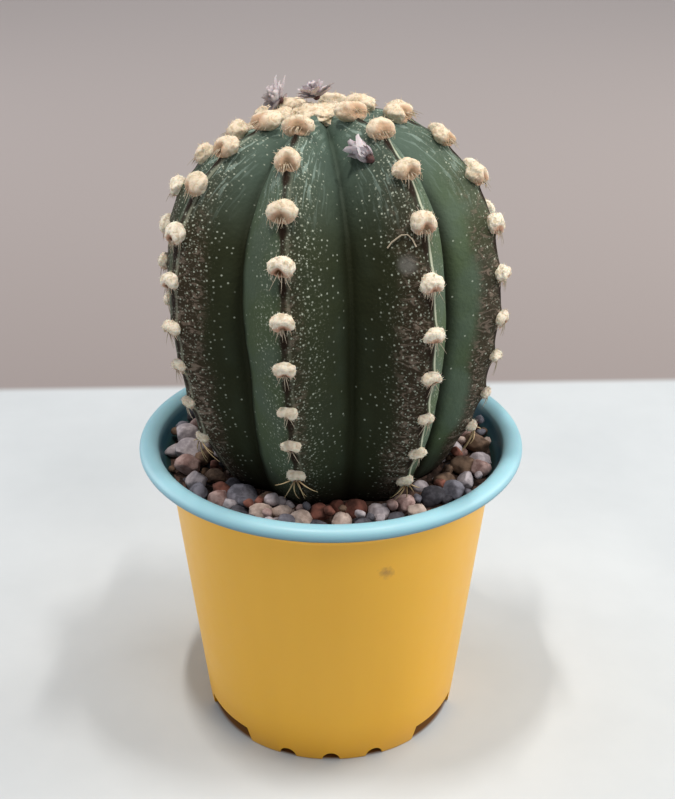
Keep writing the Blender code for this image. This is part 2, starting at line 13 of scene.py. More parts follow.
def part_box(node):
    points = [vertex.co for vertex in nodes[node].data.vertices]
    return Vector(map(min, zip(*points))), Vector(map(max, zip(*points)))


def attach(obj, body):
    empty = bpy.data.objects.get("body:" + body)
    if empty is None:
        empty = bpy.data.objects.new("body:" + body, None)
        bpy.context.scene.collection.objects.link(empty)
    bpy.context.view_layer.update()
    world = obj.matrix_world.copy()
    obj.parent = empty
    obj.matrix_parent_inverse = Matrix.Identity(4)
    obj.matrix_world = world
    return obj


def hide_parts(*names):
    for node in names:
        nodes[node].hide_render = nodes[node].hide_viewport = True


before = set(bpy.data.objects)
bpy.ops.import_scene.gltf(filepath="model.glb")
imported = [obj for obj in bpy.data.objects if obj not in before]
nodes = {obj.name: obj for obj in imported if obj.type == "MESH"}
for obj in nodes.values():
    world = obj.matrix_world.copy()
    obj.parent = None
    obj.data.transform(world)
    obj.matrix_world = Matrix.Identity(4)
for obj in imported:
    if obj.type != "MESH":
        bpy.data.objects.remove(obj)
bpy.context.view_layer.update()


# Camera. It stands in front of the pot, seven rim radii from the middle of the rim, and
# looks down on it. It is then swung so that the rim lies where the picture has it.
PICTURE_WIDTH = 675
PICTURE_HEIGHT = 799
RIM_PIXEL = (331.0, 430.7)
FOCAL_PIXELS = 1332.0
SENSOR = 36.0
NEAREST_SEEN = 0.01
LOOK_DOWN = math.radians(27.7)
RIM_RADII_AWAY = 7

pot_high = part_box("pot")[1]
rim_radius = pot_high[0]
rim_height = pot_high[2]
camera_distance = RIM_RADII_AWAY * rim_radius

camera_data = bpy.data.cameras.new("camera")
camera_data.sensor_width = SENSOR
camera_data.lens = SENSOR * FOCAL_PIXELS / PICTURE_HEIGHT
camera_data.clip_start = NEAREST_SEEN
camera = bpy.data.objects.new("camera", camera_data)
bpy.context.scene.collection.objects.link(camera)
bpy.context.scene.camera = camera

camera_place = Vector((0, -camera_distance * math.cos(LOOK_DOWN),
                       rim_height + camera_distance * math.sin(LOOK_DOWN)))
level = Matrix.Rotation(math.pi / 2 - LOOK_DOWN, 4, "X")
to_rim = Vector((RIM_PIXEL[0] - PICTURE_WIDTH / 2, PICTURE_HEIGHT / 2 - RIM_PIXEL[1],
                 -FOCAL_PIXELS)).normalized()
swing = Vector((0, 0, -1)).rotation_difference(to_rim).to_matrix().inverted().to_4x4()
camera.matrix_world = Matrix.Translation(camera_place) @ level @ swing


# Floor. A white laminate table top, matt and faintly clouded, which ends a hand's width
# behind the pot. Past its edge the ground is warm grey, painted lighter further back as
# painted light. The spot under the pot is painted dark brown as painted shade, and this
# shows through the drain openings.
MM = 0.001
FLOOR_REACH = 6000 * MM
TABLE_DEPTH = 215 * MM
TABLE_SLANT = 0.034
EDGE_BLUR = 4 * MM
CLOUD_SIZE = 91 * MM
GROUND_FADE = 1300 * MM
# Radius and blur of the painted shade under the pot.
UNDER_POT_SHADE_RADIUS = 37.2 * MM
UNDER_POT_SHADE_BLUR = 0.5 * MM


def linear(colour):
    """Linear RGBA from an sRGB hex value such as "c79a3a"."""
    channels = [int(colour[place:place + 2], 16) / 255 for place in (0, 2, 4)]
    return (*(c / 12.92 if c <= 0.04045 else ((c + 0.055) / 1.055) ** 2.4
              for c in channels), 1.0)


def connect(material, node, inputs):
    """Give inputs, by name or in order, a value, a hex colour, a socket or a node's output."""
    for name, value in (inputs.items() if isinstance(inputs, dict) else enumerate(inputs)):
        if isinstance(value, bpy.types.Node):
            value = next(output for output in value.outputs if output.enabled)
        if isinstance(value, bpy.types.NodeSocket):
            material.node_tree.links.new(value, node.inputs[name])
        else:
            node.inputs[name].default_value = linear(value) if isinstance(value, str) else value


def add_node(material, kind, inputs=(), **settings):
    """Add a shader node with its settings and its inputs."""
    node = material.node_tree.nodes.new("ShaderNode" + kind)
    for name, value in settings.items():
        setattr(node, name, value)
    connect(material, node, inputs)
    return node


def share_of(material, *shares):
    """The product of shares; a tuple of value, start, end, low and high is a smooth ramp."""
    product = None
    for share in shares:
        if isinstance(share, tuple):
            share = add_node(material, "MapRange", share, interpolation_type="SMOOTHSTEP")
        if product is None:
            product = share
        else:
            product = add_node(material, "Math", (product, share), operation="MULTIPLY")
    return product


def lay_tones(material, colour, *layers):
    """Lay tones over a colour, each given with the shares that say where it shows."""
    for tone, *shares in layers:
        colour = add_node(material, "Mix", {"Factor": share_of(material, *shares), "A": colour,
                                            "B": tone}, data_type="RGBA")
    return colour


def new_finish(name, constants):
    """A material and its Principled shader, with what is even over the whole surface."""
    material = bpy.data.materials.new(name)
    material.use_nodes = True
    shader = material.node_tree.nodes["Principled BSDF"]
    connect(material, shader, constants)
    return material, shader


def laminate():
    """Matt white laminate: nearly even, with faint clouds the size of a hand."""
    material, shader = new_finish("laminate, matt white",
                                  {"Roughness": 0.55, "Specular IOR Level": 0.3})
    place = add_node(material, "TexCoord").outputs["Object"]
    parts = add_node(material, "SeparateXYZ", (place,)).outputs
    clouds = add_node(material, "TexNoise", {"Vector": place, "Scale": 1 / CLOUD_SIZE,
                                             "Detail": 5.0, "Roughness": 0.6})
    slanted = add_node(material, "Math", (parts["X"], -TABLE_SLANT, parts["Y"]),
                       operation="MULTIPLY_ADD")
    past_edge = (slanted, TABLE_DEPTH - EDGE_BLUR, TABLE_DEPTH + EDGE_BLUR)
    # Painted light: the warm grey ground is painted lighter further back.
    far = add_node(material, "MapRange", (parts["Y"], TABLE_DEPTH, GROUND_FADE))
    ground = lay_tones(material, "958c8a", ("e2d8d5", far))
    from_middle = add_node(material, "VectorMath", (place,), operation="LENGTH")
    # Painted shade: the table under the pot is painted dark brown, as it lies in the pot's shade.
    damp = add_node(material, "MapRange",
                    (from_middle, UNDER_POT_SHADE_RADIUS + UNDER_POT_SHADE_BLUR, UNDER_POT_SHADE_RADIUS - UNDER_POT_SHADE_BLUR))
    colour = lay_tones(material, "b9bfc3", ("d4d9dc", clouds), (ground, past_edge),
                       ("855c34", damp))
    connect(material, shader, {"Base Color": colour})
    return material


floor_mesh = bpy.data.meshes.new("floor")
floor_shape = bmesh.new()
bmesh.ops.create_grid(floor_shape, x_segments=1, y_segments=1, size=FLOOR_REACH)
floor_shape.to_mesh(floor_mesh)
floor_shape.free()
floor_mesh.materials.append(laminate())
floor = bpy.data.objects.new("floor", floor_mesh)
bpy.context.scene.collection.objects.link(floor)


# Light. Two ceiling tubes that run from front to back, one on each side of the plant, a
# soft panel over the camera, a window-like panel at each side and a pale surround. Each
# light has its place, size, power and colour, and says if it is turned to the plant.
SURROUND = "dfe0e4"
SURROUND_STRENGTH = 0.40
LIGHTS = (
    ("left tube", (-0.15, -0.10, 1.14), (0.03, 0.18), 5.2, "fff8f0", False),
    ("right tube", (0.28, -0.10, 1.14), (0.03, 0.18), 4.2, "fffaf4", False),
    ("front panel", (0.46, -0.66, 0.96), (0.34, 0.34), 2.3, "ffffff", True),
    ("right panel", (0.95, 0.16, 0.55), (0.80, 0.60), 7.2, "fffdf8", True),
    ("left panel", (-0.95, 0.35, 0.40), (0.80, 0.60), 4.4, "f8faff", True),
)

for light_name, light_place, light_size, power, tint, turned_to_plant in LIGHTS:
    light_data = bpy.data.lights.new(light_name, "AREA")
    light_data.shape = "RECTANGLE"
    light_data.size, light_data.size_y = light_size
    light_data.energy = power
    light_data.color = linear(tint)[:3]
    light = bpy.data.objects.new(light_name, light_data)
    light.location = light_place
    if turned_to_plant:
        towards = Vector((0, 0, rim_height)) - light.location
        light.rotation_euler = towards.to_track_quat("-Z", "Y").to_euler()
    bpy.context.scene.collection.objects.link(light)

world = bpy.data.worlds.new("surround")
world.use_nodes = True
world.node_tree.nodes["Background"].inputs["Color"].default_value = linear(SURROUND)
world.node_tree.nodes["Background"].inputs["Strength"].default_value = SURROUND_STRENGTH
bpy.context.scene.world = world
bpy.context.scene.view_settings.view_transform = "Standard"
bpy.context.scene.view_settings.look = "None"


# Pot. One thermoformed polypropylene sheet, yellow outside and pale blue inside, with
# the blue rolled out over the rim; its foot ring has drain openings pressed through it.
POT_SIDES = 144
SHEET = 1.2 * MM
MOUTH_RADIUS = 49.4 * MM
COLLAR_RADIUS = MOUTH_RADIUS - 1.0 * MM
BEAD_HEIGHT = 4.4 * MM
BEAD_TURN = 270
BEAD_STEPS = 21
COLLAR_DEPTH = 5.5 * MM
SHOULDER_DEPTH = 8.0 * MM
WALL_TOP_RADIUS = 46.7 * MM
FOOT_RADIUS = 38.0 * MM
FLOOR_LIFT = 3.0 * MM
BAND_HEIGHT = 7.0 * MM
CORNER = 1.0 * MM
SHOULDER_CORNER = 1.2 * MM
FLOOR_CORNER = 1.5 * MM
CORNER_STEPS = 4
SHARP_EDGE = math.radians(38)

# The foot's lip, as millimetres in from its outer edge and up from the table.
FOOT_LIP = ((0.0, 0.6), (0.2, 0.15), (0.5, 0.0), (1.5, 0.0), (1.4, 3.0))

# Drain openings: the angles at which they lie, the foot and top width and the height of
# the arches, and the width and height of the small notches.
WIDE_ARCH_ANGLES = (-55, 56, 180)
WIDE_ARCH_SIZE = (23.0 * MM, 19.5 * MM, 4.8 * MM)
NOTCH_ANGLES = (-19.5, 0, 19.5, 98.5, 118, 137.5, -98.5, -118, -137.5)
NOTCH_SIZE = (5.2 * MM, 2.7 * MM)
NOTCH_SIDES = 24
ARCH_CUT = 10 * MM
NOTCH_CUT = 9 * MM
CUT_BELOW = 2 * MM

# Finish of the sheet: the size of its draw marks and fine scuffs, and the rubbed spot on
# its front with its reach and specked edge. The tints are painted shade: a deeper amber
# low on the foot, and the blue darkening under the bead and down the inner wall below
# the rim. Each comes in between two heights and has its share at the second.
DRAW_MARK = (14.3 * MM, 14.3 * MM, 111 * MM)
SCUFF_GRAIN = 3.85 * MM
SPECK_SIZE = 1.43 * MM
SCUFF_PLACE = (14.9 * MM, -43.3 * MM, 68.8 * MM)
SCUFF_REACH = (4.2 * MM, 2.2 * MM)
SCUFF_RAGGED = 3.5 * MM
# Painted shade: the yellow deepens to amber low on the foot.
OUTSIDE_SHADE_TINTS = (("cd8a1a", 14 * MM, 0.0, 0.3),)
# Painted shade: the blue darkens under the bead and down the inner wall.
INSIDE_SHADE_TINTS = (
    ("86b8c8", rim_height - 1.0 * MM, rim_height - 2.4 * MM, 1.0),
    ("3f7084", rim_height - 2.2 * MM, rim_height - 3.5 * MM, 1.0),
    ("243b3a", rim_height - 3.9 * MM, rim_height - 6.5 * MM, 1.0),
)


def add_piece(name, mesh, slot, *materials):
    """Link a finished mesh as a piece that rests with the plant."""
    piece = bpy.data.objects.new(name, mesh)
    for material in materials:
        mesh.materials.append(material)
    bpy.context.scene.collection.objects.link(piece)
    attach(piece, "root")
    return piece


def wall_radius(height):
    """Outer radius of the pot's tapered wall at a height."""
    return FOOT_RADIUS + (WALL_TOP_RADIUS - FOOT_RADIUS) * height / (rim_height - SHOULDER_DEPTH)


def round_corner(before, corner, after, reach):
    """Points that round a corner of a profile, as in sheet drawn over a mould."""
    corner = Vector(corner)
    start = corner + (Vector(before) - corner).normalized() * reach
    end = corner + (Vector(after) - corner).normalized() * reach
    points = []
    for step in range(CORNER_STEPS + 1):
        t = step / CORNER_STEPS
        points.append(tuple(start * (1 - t) ** 2 + corner * 2 * t * (1 - t) + end * t ** 2))
    return points


def pot_profile():
    """From the middle of the floor, up the inside, over the rim and down to the foot."""
    shoulder = rim_height - SHOULDER_DEPTH
    floor_top = FLOOR_LIFT + SHEET
    floor_edge = wall_radius(floor_top) - SHEET
    outer_collar_radius = COLLAR_RADIUS + SHEET
    bead_foot = rim_height - BEAD_HEIGHT
    bead_middle = (MOUTH_RADIUS + rim_radius) / 2
    bead_half = (rim_radius - MOUTH_RADIUS) / 2
    bead = []
    for step in range(BEAD_STEPS + 1):
        angle = math.radians(180 - BEAD_TURN * step / BEAD_STEPS)
        bead.append((bead_middle + bead_half * math.cos(angle),
                     rim_height - BEAD_HEIGHT / 2 * (1 - math.sin(angle))))
    inner_shoulder = (wall_radius(shoulder) - SHEET, shoulder)
    inner_collar = (COLLAR_RADIUS, rim_height - COLLAR_DEPTH)
    inner_foot = (floor_edge, floor_top + FLOOR_CORNER)
    outer_collar = (outer_collar_radius, rim_height - COLLAR_DEPTH - 0.5 * MM)
    outer_shoulder = (WALL_TOP_RADIUS, shoulder - 0.8 * MM)
    band = (wall_radius(BAND_HEIGHT), BAND_HEIGHT)
    return [
        (0, floor_top),
        (floor_edge - FLOOR_CORNER, floor_top),
        inner_foot,
        *round_corner(inner_foot, inner_shoulder, inner_collar, SHOULDER_CORNER),
        *round_corner(inner_shoulder, inner_collar, bead[0], CORNER),
        *bead,
        (outer_collar_radius + 0.5 * MM, bead_foot + 0.1 * MM),
        (outer_collar_radius, bead_foot - 0.3 * MM),
        *round_corner((outer_collar_radius, bead_foot), outer_collar, outer_shoulder, CORNER),
        *round_corner(outer_collar, outer_shoulder, band, CORNER),
        band,
        *((FOOT_RADIUS - inward * MM, up * MM) for inward, up in FOOT_LIP),
        (0, FLOOR_LIFT),
    ]


def ring_faces(rings, columns):
    """Faces of rings of points, with fans to point 0 before them and point 1 after them."""
    index = 2 + np.arange(rings * columns).reshape(rings, columns)
    beside = np.roll(index, -1, axis=1)
    bands = np.stack((index[:-1], index[1:], beside[1:], beside[:-1]), -1).reshape(-1, 4)
    first = np.stack((np.full(columns, 0), index[0], beside[0]), -1)
    last = np.stack((index[-1], np.full(columns, 1), beside[-1]), -1)
    return [*bands.tolist(), *first.tolist(), *last.tolist()]


def turned_pot():
    """The sheet turned round the pot's axis from its profile."""
    profile = np.array(pot_profile())
    angles = np.arange(POT_SIDES) * 2 * math.pi / POT_SIDES
    radii, heights = profile[1:-1, :1], profile[1:-1, 1:]
    rings = np.stack(np.broadcast_arrays(radii * np.sin(angles), -radii * np.cos(angles),
                                         heights), -1)
    mesh = bpy.data.meshes.new("pot_shell")
    mesh.from_pydata([(0, 0, profile[0, 1]), (0, 0, profile[-1, 1]),
                      *rings.reshape(-1, 3).tolist()], [], ring_faces(len(rings), POT_SIDES))
    mesh.update()
    return mesh


def drain_cutters():
    """One mesh of separate blocks and rounds that cut the openings through the foot."""
    shape = bmesh.new()
    width, top_width, height = WIDE_ARCH_SIZE
    for angle in WIDE_ARCH_ANGLES:
        made = bmesh.ops.create_cube(shape, size=1)["verts"]
        for corner in made:
            top = corner.co.z > 0
            corner.co.x = math.copysign((top_width if top else width) / 2, corner.co.x)
            corner.co.y = -FOOT_RADIUS + corner.co.y * ARCH_CUT
            corner.co.z = height if top else -CUT_BELOW
        bmesh.ops.rotate(shape, verts=made, matrix=Matrix.Rotation(math.radians(angle), 3, "Z"))
    for angle in NOTCH_ANGLES:
        made = bmesh.ops.create_cone(shape, cap_ends=True, segments=NOTCH_SIDES, radius1=1,
                                     radius2=1, depth=1)["verts"]
        stretch = Matrix.Diagonal((NOTCH_SIZE[0] / 2, NOTCH_CUT, NOTCH_SIZE[1], 1))
        matrix = (Matrix.Rotation(math.radians(angle), 4, "Z")
                  @ Matrix.Translation((0, -FOOT_RADIUS, 0))
                  @ stretch @ Matrix.Rotation(math.pi / 2, 4, "X"))
        bmesh.ops.transform(shape, matrix=matrix, verts=made)
    mesh = bpy.data.meshes.new("drain cutters")
    shape.to_mesh(mesh)
    shape.free()
    return mesh


def polypropylene(name, light_tone, deep_tone, shade_tints, scuffed):
    """Satin thermoformed polypropylene: even colour, faint draw marks and fine scuffs."""
    material, shader = new_finish(name, {"IOR": 1.49, "Subsurface Weight": 0.06,
                                         "Subsurface Scale": 2 * MM, "Coat Weight": 0.12,
                                         "Coat Roughness": 0.3})
    place = add_node(material, "TexCoord").outputs["Object"]
    drawn = add_node(material, "Mapping", {"Vector": place,
                                           "Scale": [1 / size for size in DRAW_MARK]})
    draw_marks = add_node(material, "TexNoise", {"Vector": drawn, "Scale": 1.0, "Detail": 3.0})
    colour = lay_tones(material, light_tone, (deep_tone, draw_marks))
    height = add_node(material, "SeparateXYZ", (place,)).outputs["Z"]
    # Painted shade: each tint darkens the sheet between two heights.
    for tone, start, end, share in shade_tints:
        zone = add_node(material, "MapRange", (height, start, end, 0.0, share))
        colour = lay_tones(material, colour, (tone, zone))
    if scuffed:
        rubbed = add_node(material, "VectorMath", (place, SCUFF_PLACE), operation="DISTANCE")
        speck = add_node(material, "TexNoise", {"Vector": place, "Scale": 1 / SPECK_SIZE,
                                                "Detail": 2.0})
        ragged = add_node(material, "Math", (speck, SCUFF_RAGGED, rubbed),
                          operation="MULTIPLY_ADD")
        scuff = add_node(material, "MapRange", (ragged, *SCUFF_REACH, 0.0, 0.55))
        colour = lay_tones(material, colour, ("8a5a34", scuff))
    fine = add_node(material, "TexNoise", {"Vector": place, "Scale": 1 / SCUFF_GRAIN,
                                           "Detail": 4.0})
    gloss = add_node(material, "MapRange", (fine, 0.0, 1.0, 0.36, 0.52))
    waves = add_node(material, "Bump", {"Height": draw_marks, "Strength": 0.12,
                                        "Distance": 0.4 * MM})
    connect(material, shader, {"Base Color": colour, "Roughness": gloss, "Normal": waves})
    return material


pot_piece = add_piece("pot_shell", turned_pot(), "pot_plastic",
                      polypropylene("polypropylene sheet, satin yellow", "f7ba26", "ebae1f",
                                    OUTSIDE_SHADE_TINTS, True),
                      polypropylene("polypropylene sheet, satin pale blue", "9dcdd9", "92c2cf",
                                    INSIDE_SHADE_TINTS, False))
cutter = bpy.data.objects.new("drain cutter", drain_cutters())
bpy.context.scene.collection.objects.link(cutter)
cut = pot_piece.modifiers.new("drain", "BOOLEAN")
cut.operation = "DIFFERENCE"
cut.solver = "EXACT"
cut.object = cutter
bpy.context.view_layer.update()
cut_pot = pot_piece.evaluated_get(bpy.context.evaluated_depsgraph_get())
pot_mesh = bpy.data.meshes.new_from_object(cut_pot)
pot_piece.modifiers.clear()
pot_piece.data = pot_mesh
bpy.data.objects.remove(cutter)
for face in pot_mesh.polygons:
    middle = face.center
    inward = face.normal.x * middle.x + face.normal.y * middle.y < -1e-6
    inside = (inward or face.normal.z > 0.9) and middle.z > FLOOR_LIFT
    on_bead = middle.z > rim_height - BEAD_HEIGHT - 0.05 * MM
    face.material_index = 1 if inside or on_bead else 0
pot_mesh.shade_smooth()
pot_mesh.set_sharp_from_angle(angle=SHARP_EDGE)
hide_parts("pot")


# Soil. Dark peat and bark crumbs that fill the pot; almost all of it is under the
# stones, so the solid keeps its shape and gets the crumbly finish.
PEAT_CRUMB = 1.6 * MM


def peat():
    """Damp peat: near black, with brown crumbs one to two millimetres across."""
    material, shader = new_finish("peat, damp and crumbly",
                                  {"Roughness": 0.95, "Specular IOR Level": 0.2})
    place = add_node(material, "TexCoord").outputs["Object"]
    crumbs = add_node(material, "TexVoronoi", {"Vector": place, "Scale": 1 / PEAT_CRUMB})
    colour = lay_tones(material, "1f1813", ("4a3a2c", crumbs.outputs["Color"]))
    bump = add_node(material, "Bump", {"Height": crumbs, "Strength": 0.9, "Distance": 0.8 * MM})
    connect(material, shader, {"Base Color": colour, "Normal": bump})
    return material


nodes["soil"].data.materials.clear()
nodes["soil"].data.materials.append(peat())


# Stem. One ribbed body of living tissue with a waxy skin: the crests carry the areoles,
# the flanks are peppered with tiny white scales, and old crests turn brown and corky.
CREST_OUTLINE = np.array((
    (0.0, 90.3), (8.0, 90.9), (18.9, 90.0), (29.3, 86.1), (39.8, 77.6), (46.7, 65.6),
    (49.6, 46.6), (47.3, 27.8), (43.5, 13.6), (36.1, -0.8), (29.5, -8.5), (18.0, -14.5),
    (7.5, -17.5), (4.5, -30.0), (0.0, -46.0),
)) * MM
OUTLINE_STEPS = 24
STEM_OFFSET = np.array((-0.1, 1.0, 0.0)) * MM
LEAN_BACK = 5.4
LEAN_SIDE = -1.5
LEAN_HEIGHT = 93.5 * MM
VALLEY_DEPTH = 10.4 * MM
VALLEY_ROUNDING = 0.85
FLANK_BULGE = 0.18
CROWN_REACH = 68.0 * MM
RISE_LENGTH = 48.0 * MM
FALL_START = 88.0 * MM
FALL_LENGTH = 68.0 * MM
UPPER_AREOLE_STEP = 12.9 * MM
LOWER_AREOLE_STEP = 11.0 * MM
STEP_CHANGE_START = 40 * MM
STEP_CHANGE_LENGTH = 45 * MM
LAST_AREOLE = 123.5 * MM
CREST_ROUNDING = 0.05

# The mesh of the skin: columns for each rib, the gap left at the crown and at the root's
# tip, and how far rings reach in the crown, the side and the root, with their number.
RIB_COLUMNS = 36
END_GAP = 0.4 * MM
CROWN_END = 8 * MM
CROWN_RINGS = 12
SIDE_END = 138 * MM
SIDE_RINGS = 205
ROOT_RINGS = 22

# Each rib: its crest's angle from the front, how far it veers at the crown, how far it
# stands out as a share of the valley depth, and where its first areole lies, in mm.
RIBS = np.array((
    (-12.2, -4.2, 0.15, 22.0), (29.5, 4.5, 0.25, 14.2), (67.2, 26.3, -0.02, 20.2),
    (113.0, 20.0, 0.05, 13.5), (161.0, 13.0, 0.0, 19.0), (210.0, 10.0, -0.1, 13.0),
    (261.2, 12.9, -0.38, 10.8), (305.6, 1.8, -0.03, 18.2),
))

# How scaly and how corky each rib's left and right flank is, and how plainly the pale
# seam beside its crest shows. The flanks meet over a share of the rib round the crest.
FLANKS = np.array((
    (0.50, 0.90, 0.15, 0.55, 0.12), (1.00, 0.28, 0.90, 0.08, 1.00),
    (0.30, 0.70, 1.00, 0.80, 0.15), (0.80, 0.70, 0.60, 0.60, 0.30),
    (0.70, 0.80, 0.50, 0.50, 0.20), (0.80, 0.70, 0.50, 0.50, 0.30),
    (0.90, 0.90, 0.70, 0.80, 0.20), (0.60, 1.00, 0.40, 0.95, 0.35),
))
FLANK_TURN = 0.12

# Low relief of the skin: soft waves, as waves per metre with their height, a mound of
# wool-bearing tissue at each areole, and the sunken crest between the mounds. Each comes
# in below the crown and fades towards the root, over the lengths given.
SKIN_WAVES = ((60, 0.45 * MM), (220, 0.16 * MM))
MOUND_RADIUS = 2.6 * MM
MOUND_HEIGHT = 0.9 * MM
CREST_SINK = 0.5 * MM
CREST_WIDTH = 0.16
MOUNDS_RISE = 14 * MM
MOUNDS_FADE = 8 * MM
WAVES_RISE = 6 * MM
WAVES_END = 120 * MM
WAVES_FADE = 20 * MM

# Painted shadow below each tuft of wool: how far below its areole it lies, and how far
# it spreads along the rib and across it.
WOOL_SHADOW_DROP = 4.4 * MM
WOOL_SHADOW_LENGTH = 2.6 * MM
WOOL_SHADOW_WIDTH = 1.5 * MM

# Patterns of the skin, in millimetres on its surface: the width and length of crown
# hairs, pale flecks and cork wrinkles, with their detail, roughness and distortion, and
# how far the pale seam lies beside the crest.
HAIRS = (0.91, 6.25, 3.0, 0.5, 0.8)
FLECKS = (0.59, 0.59, 2.0, 0.5, 0.0)
WRINKLES = (3.33, 1.61, 4.0, 0.6, 1.2)
SEAM_OFFSET = 1.5

# Blotches of the green, pores, and how ragged the edge of the scar is.
BLOTCH_SIZE = 13.3 * MM
PORE_SIZE = 1.11 * MM
SCAR_RAGGED = 4 * MM

# White scales: their spacing in millimetres, inner and outer edge as shares of it, how
# near and how far from the crest they thin out, and their share at the crest.
SCALES = ((1.923, 0.07, 0.18, 0.62, 1.25, 0.80), (1.053, 0.10, 0.24, 0.30, 0.85, 0.50))


def smooth_step(x):
    """Ease from 0 to 1 as x goes from 0 to 1."""
    x = np.clip(x, 0, 1)
    return x * x * (3 - 2 * x)


def outline_samples(points):
    """A smooth curve through the crest outline, with its running length."""
    path = np.vstack(([(-points[1][0], points[1][1])], points, [(-points[-2][0], points[-2][1])]))
    t = (np.arange(OUTLINE_STEPS) / OUTLINE_STEPS)[:, None]
    spans = []
    for index in range(1, len(path) - 2):
        before, start, end, after = path[index - 1:index + 3]
        spans.append(0.5 * (2 * start + (end - before) * t
                            + (2 * before - 5 * start + 4 * end - after) * t ** 2
                            + (3 * start - before - 3 * end + after) * t ** 3))
    curve = np.vstack((*spans, [path[-2]]))
    steps = np.linalg.norm(np.diff(curve, axis=0), axis=1)
    return curve, np.concatenate(([0.0], np.cumsum(steps)))


outline, outline_lengths = outline_samples(CREST_OUTLINE)
crest_length = outline_lengths[-1]
outline_tangents = np.gradient(outline, outline_lengths, axis=0)
outline_tangents /= np.linalg.norm(outline_tangents, axis=1)[:, None]


def crest_angle(rib, distance):
    """Angle of each rib's crest round the stem, in degrees."""
    turns, index = np.divmod(rib, len(RIBS))
    veer = RIBS[index, 1] * smooth_step(1 - distance / CROWN_REACH)
    return RIBS[index, 0] + 360 * turns + veer


def valley_depth(distance):
    """How deep the valleys lie below the crests, that far from the crown."""
    rise = np.sin(np.clip(distance / RISE_LENGTH, 0, 1) * math.pi / 2) ** VALLEY_ROUNDING
    fall = 1 - smooth_step((distance - FALL_START) / FALL_LENGTH)
    return VALLEY_DEPTH * rise * fall


def lean(points):
    """Lean the upright stem back and aside, more towards the crown."""
    x, y, z = points[..., 0], points[..., 1], points[..., 2]
    share = np.clip(z / LEAN_HEIGHT, 0, 1)
    back = np.radians(LEAN_BACK) * share
    side = np.radians(LEAN_SIDE) * share
    y, z = y * np.cos(back) + z * np.sin(back), z * np.cos(back) - y * np.sin(back)
    x, z = x * np.cos(side) + z * np.sin(side), z * np.cos(side) - x * np.sin(side)
    return np.stack((x, y, z + rim_height), -1) + STEM_OFFSET


def stem_points(rib, across, distance, rounding=CREST_ROUNDING):
    """Points of the stem: across goes from -1 and 1 in the valleys to 0 on the crest."""
    radius = np.interp(distance, outline_lengths, outline[:, 0])
    height = np.interp(distance, outline_lengths, outline[:, 1])
    along_r = np.interp(distance, outline_lengths, outline_tangents[:, 0])
    along_z = np.interp(distance, outline_lengths, outline_tangents[:, 1])
    here = crest_angle(rib, distance)
    half_gap = (crest_angle(rib + np.where(across >= 0, 1, -1), distance) - here) / 2
    away = np.abs(across)
    softened = (np.sqrt(away ** 2 + rounding ** 2) - rounding) \
        / (math.sqrt(1 + rounding ** 2) - rounding)
    depth = (1 - FLANK_BULGE) * softened + FLANK_BULGE * softened ** 3
    depth = depth - RIBS[rib % len(RIBS), 2] * (1 - depth)
    sink = valley_depth(distance) * depth
    radius = np.maximum(radius + along_z * sink, 0)
    height = height - along_r * sink
    turned = np.radians(here + half_gap * away)
    return lean(np.stack((radius * np.sin(turned), -radius * np.cos(turned), height), -1))


def areole_places(rib):
    """Distances of a rib's areoles from the crown."""
    distance = RIBS[rib, 3] * MM
    places = []
    while distance <= LAST_AREOLE:
        places.append(distance)
        lower = float(smooth_step((distance - STEP_CHANGE_START) / STEP_CHANGE_LENGTH))
        distance += UPPER_AREOLE_STEP + (LOWER_AREOLE_STEP - UPPER_AREOLE_STEP) * lower
    return places


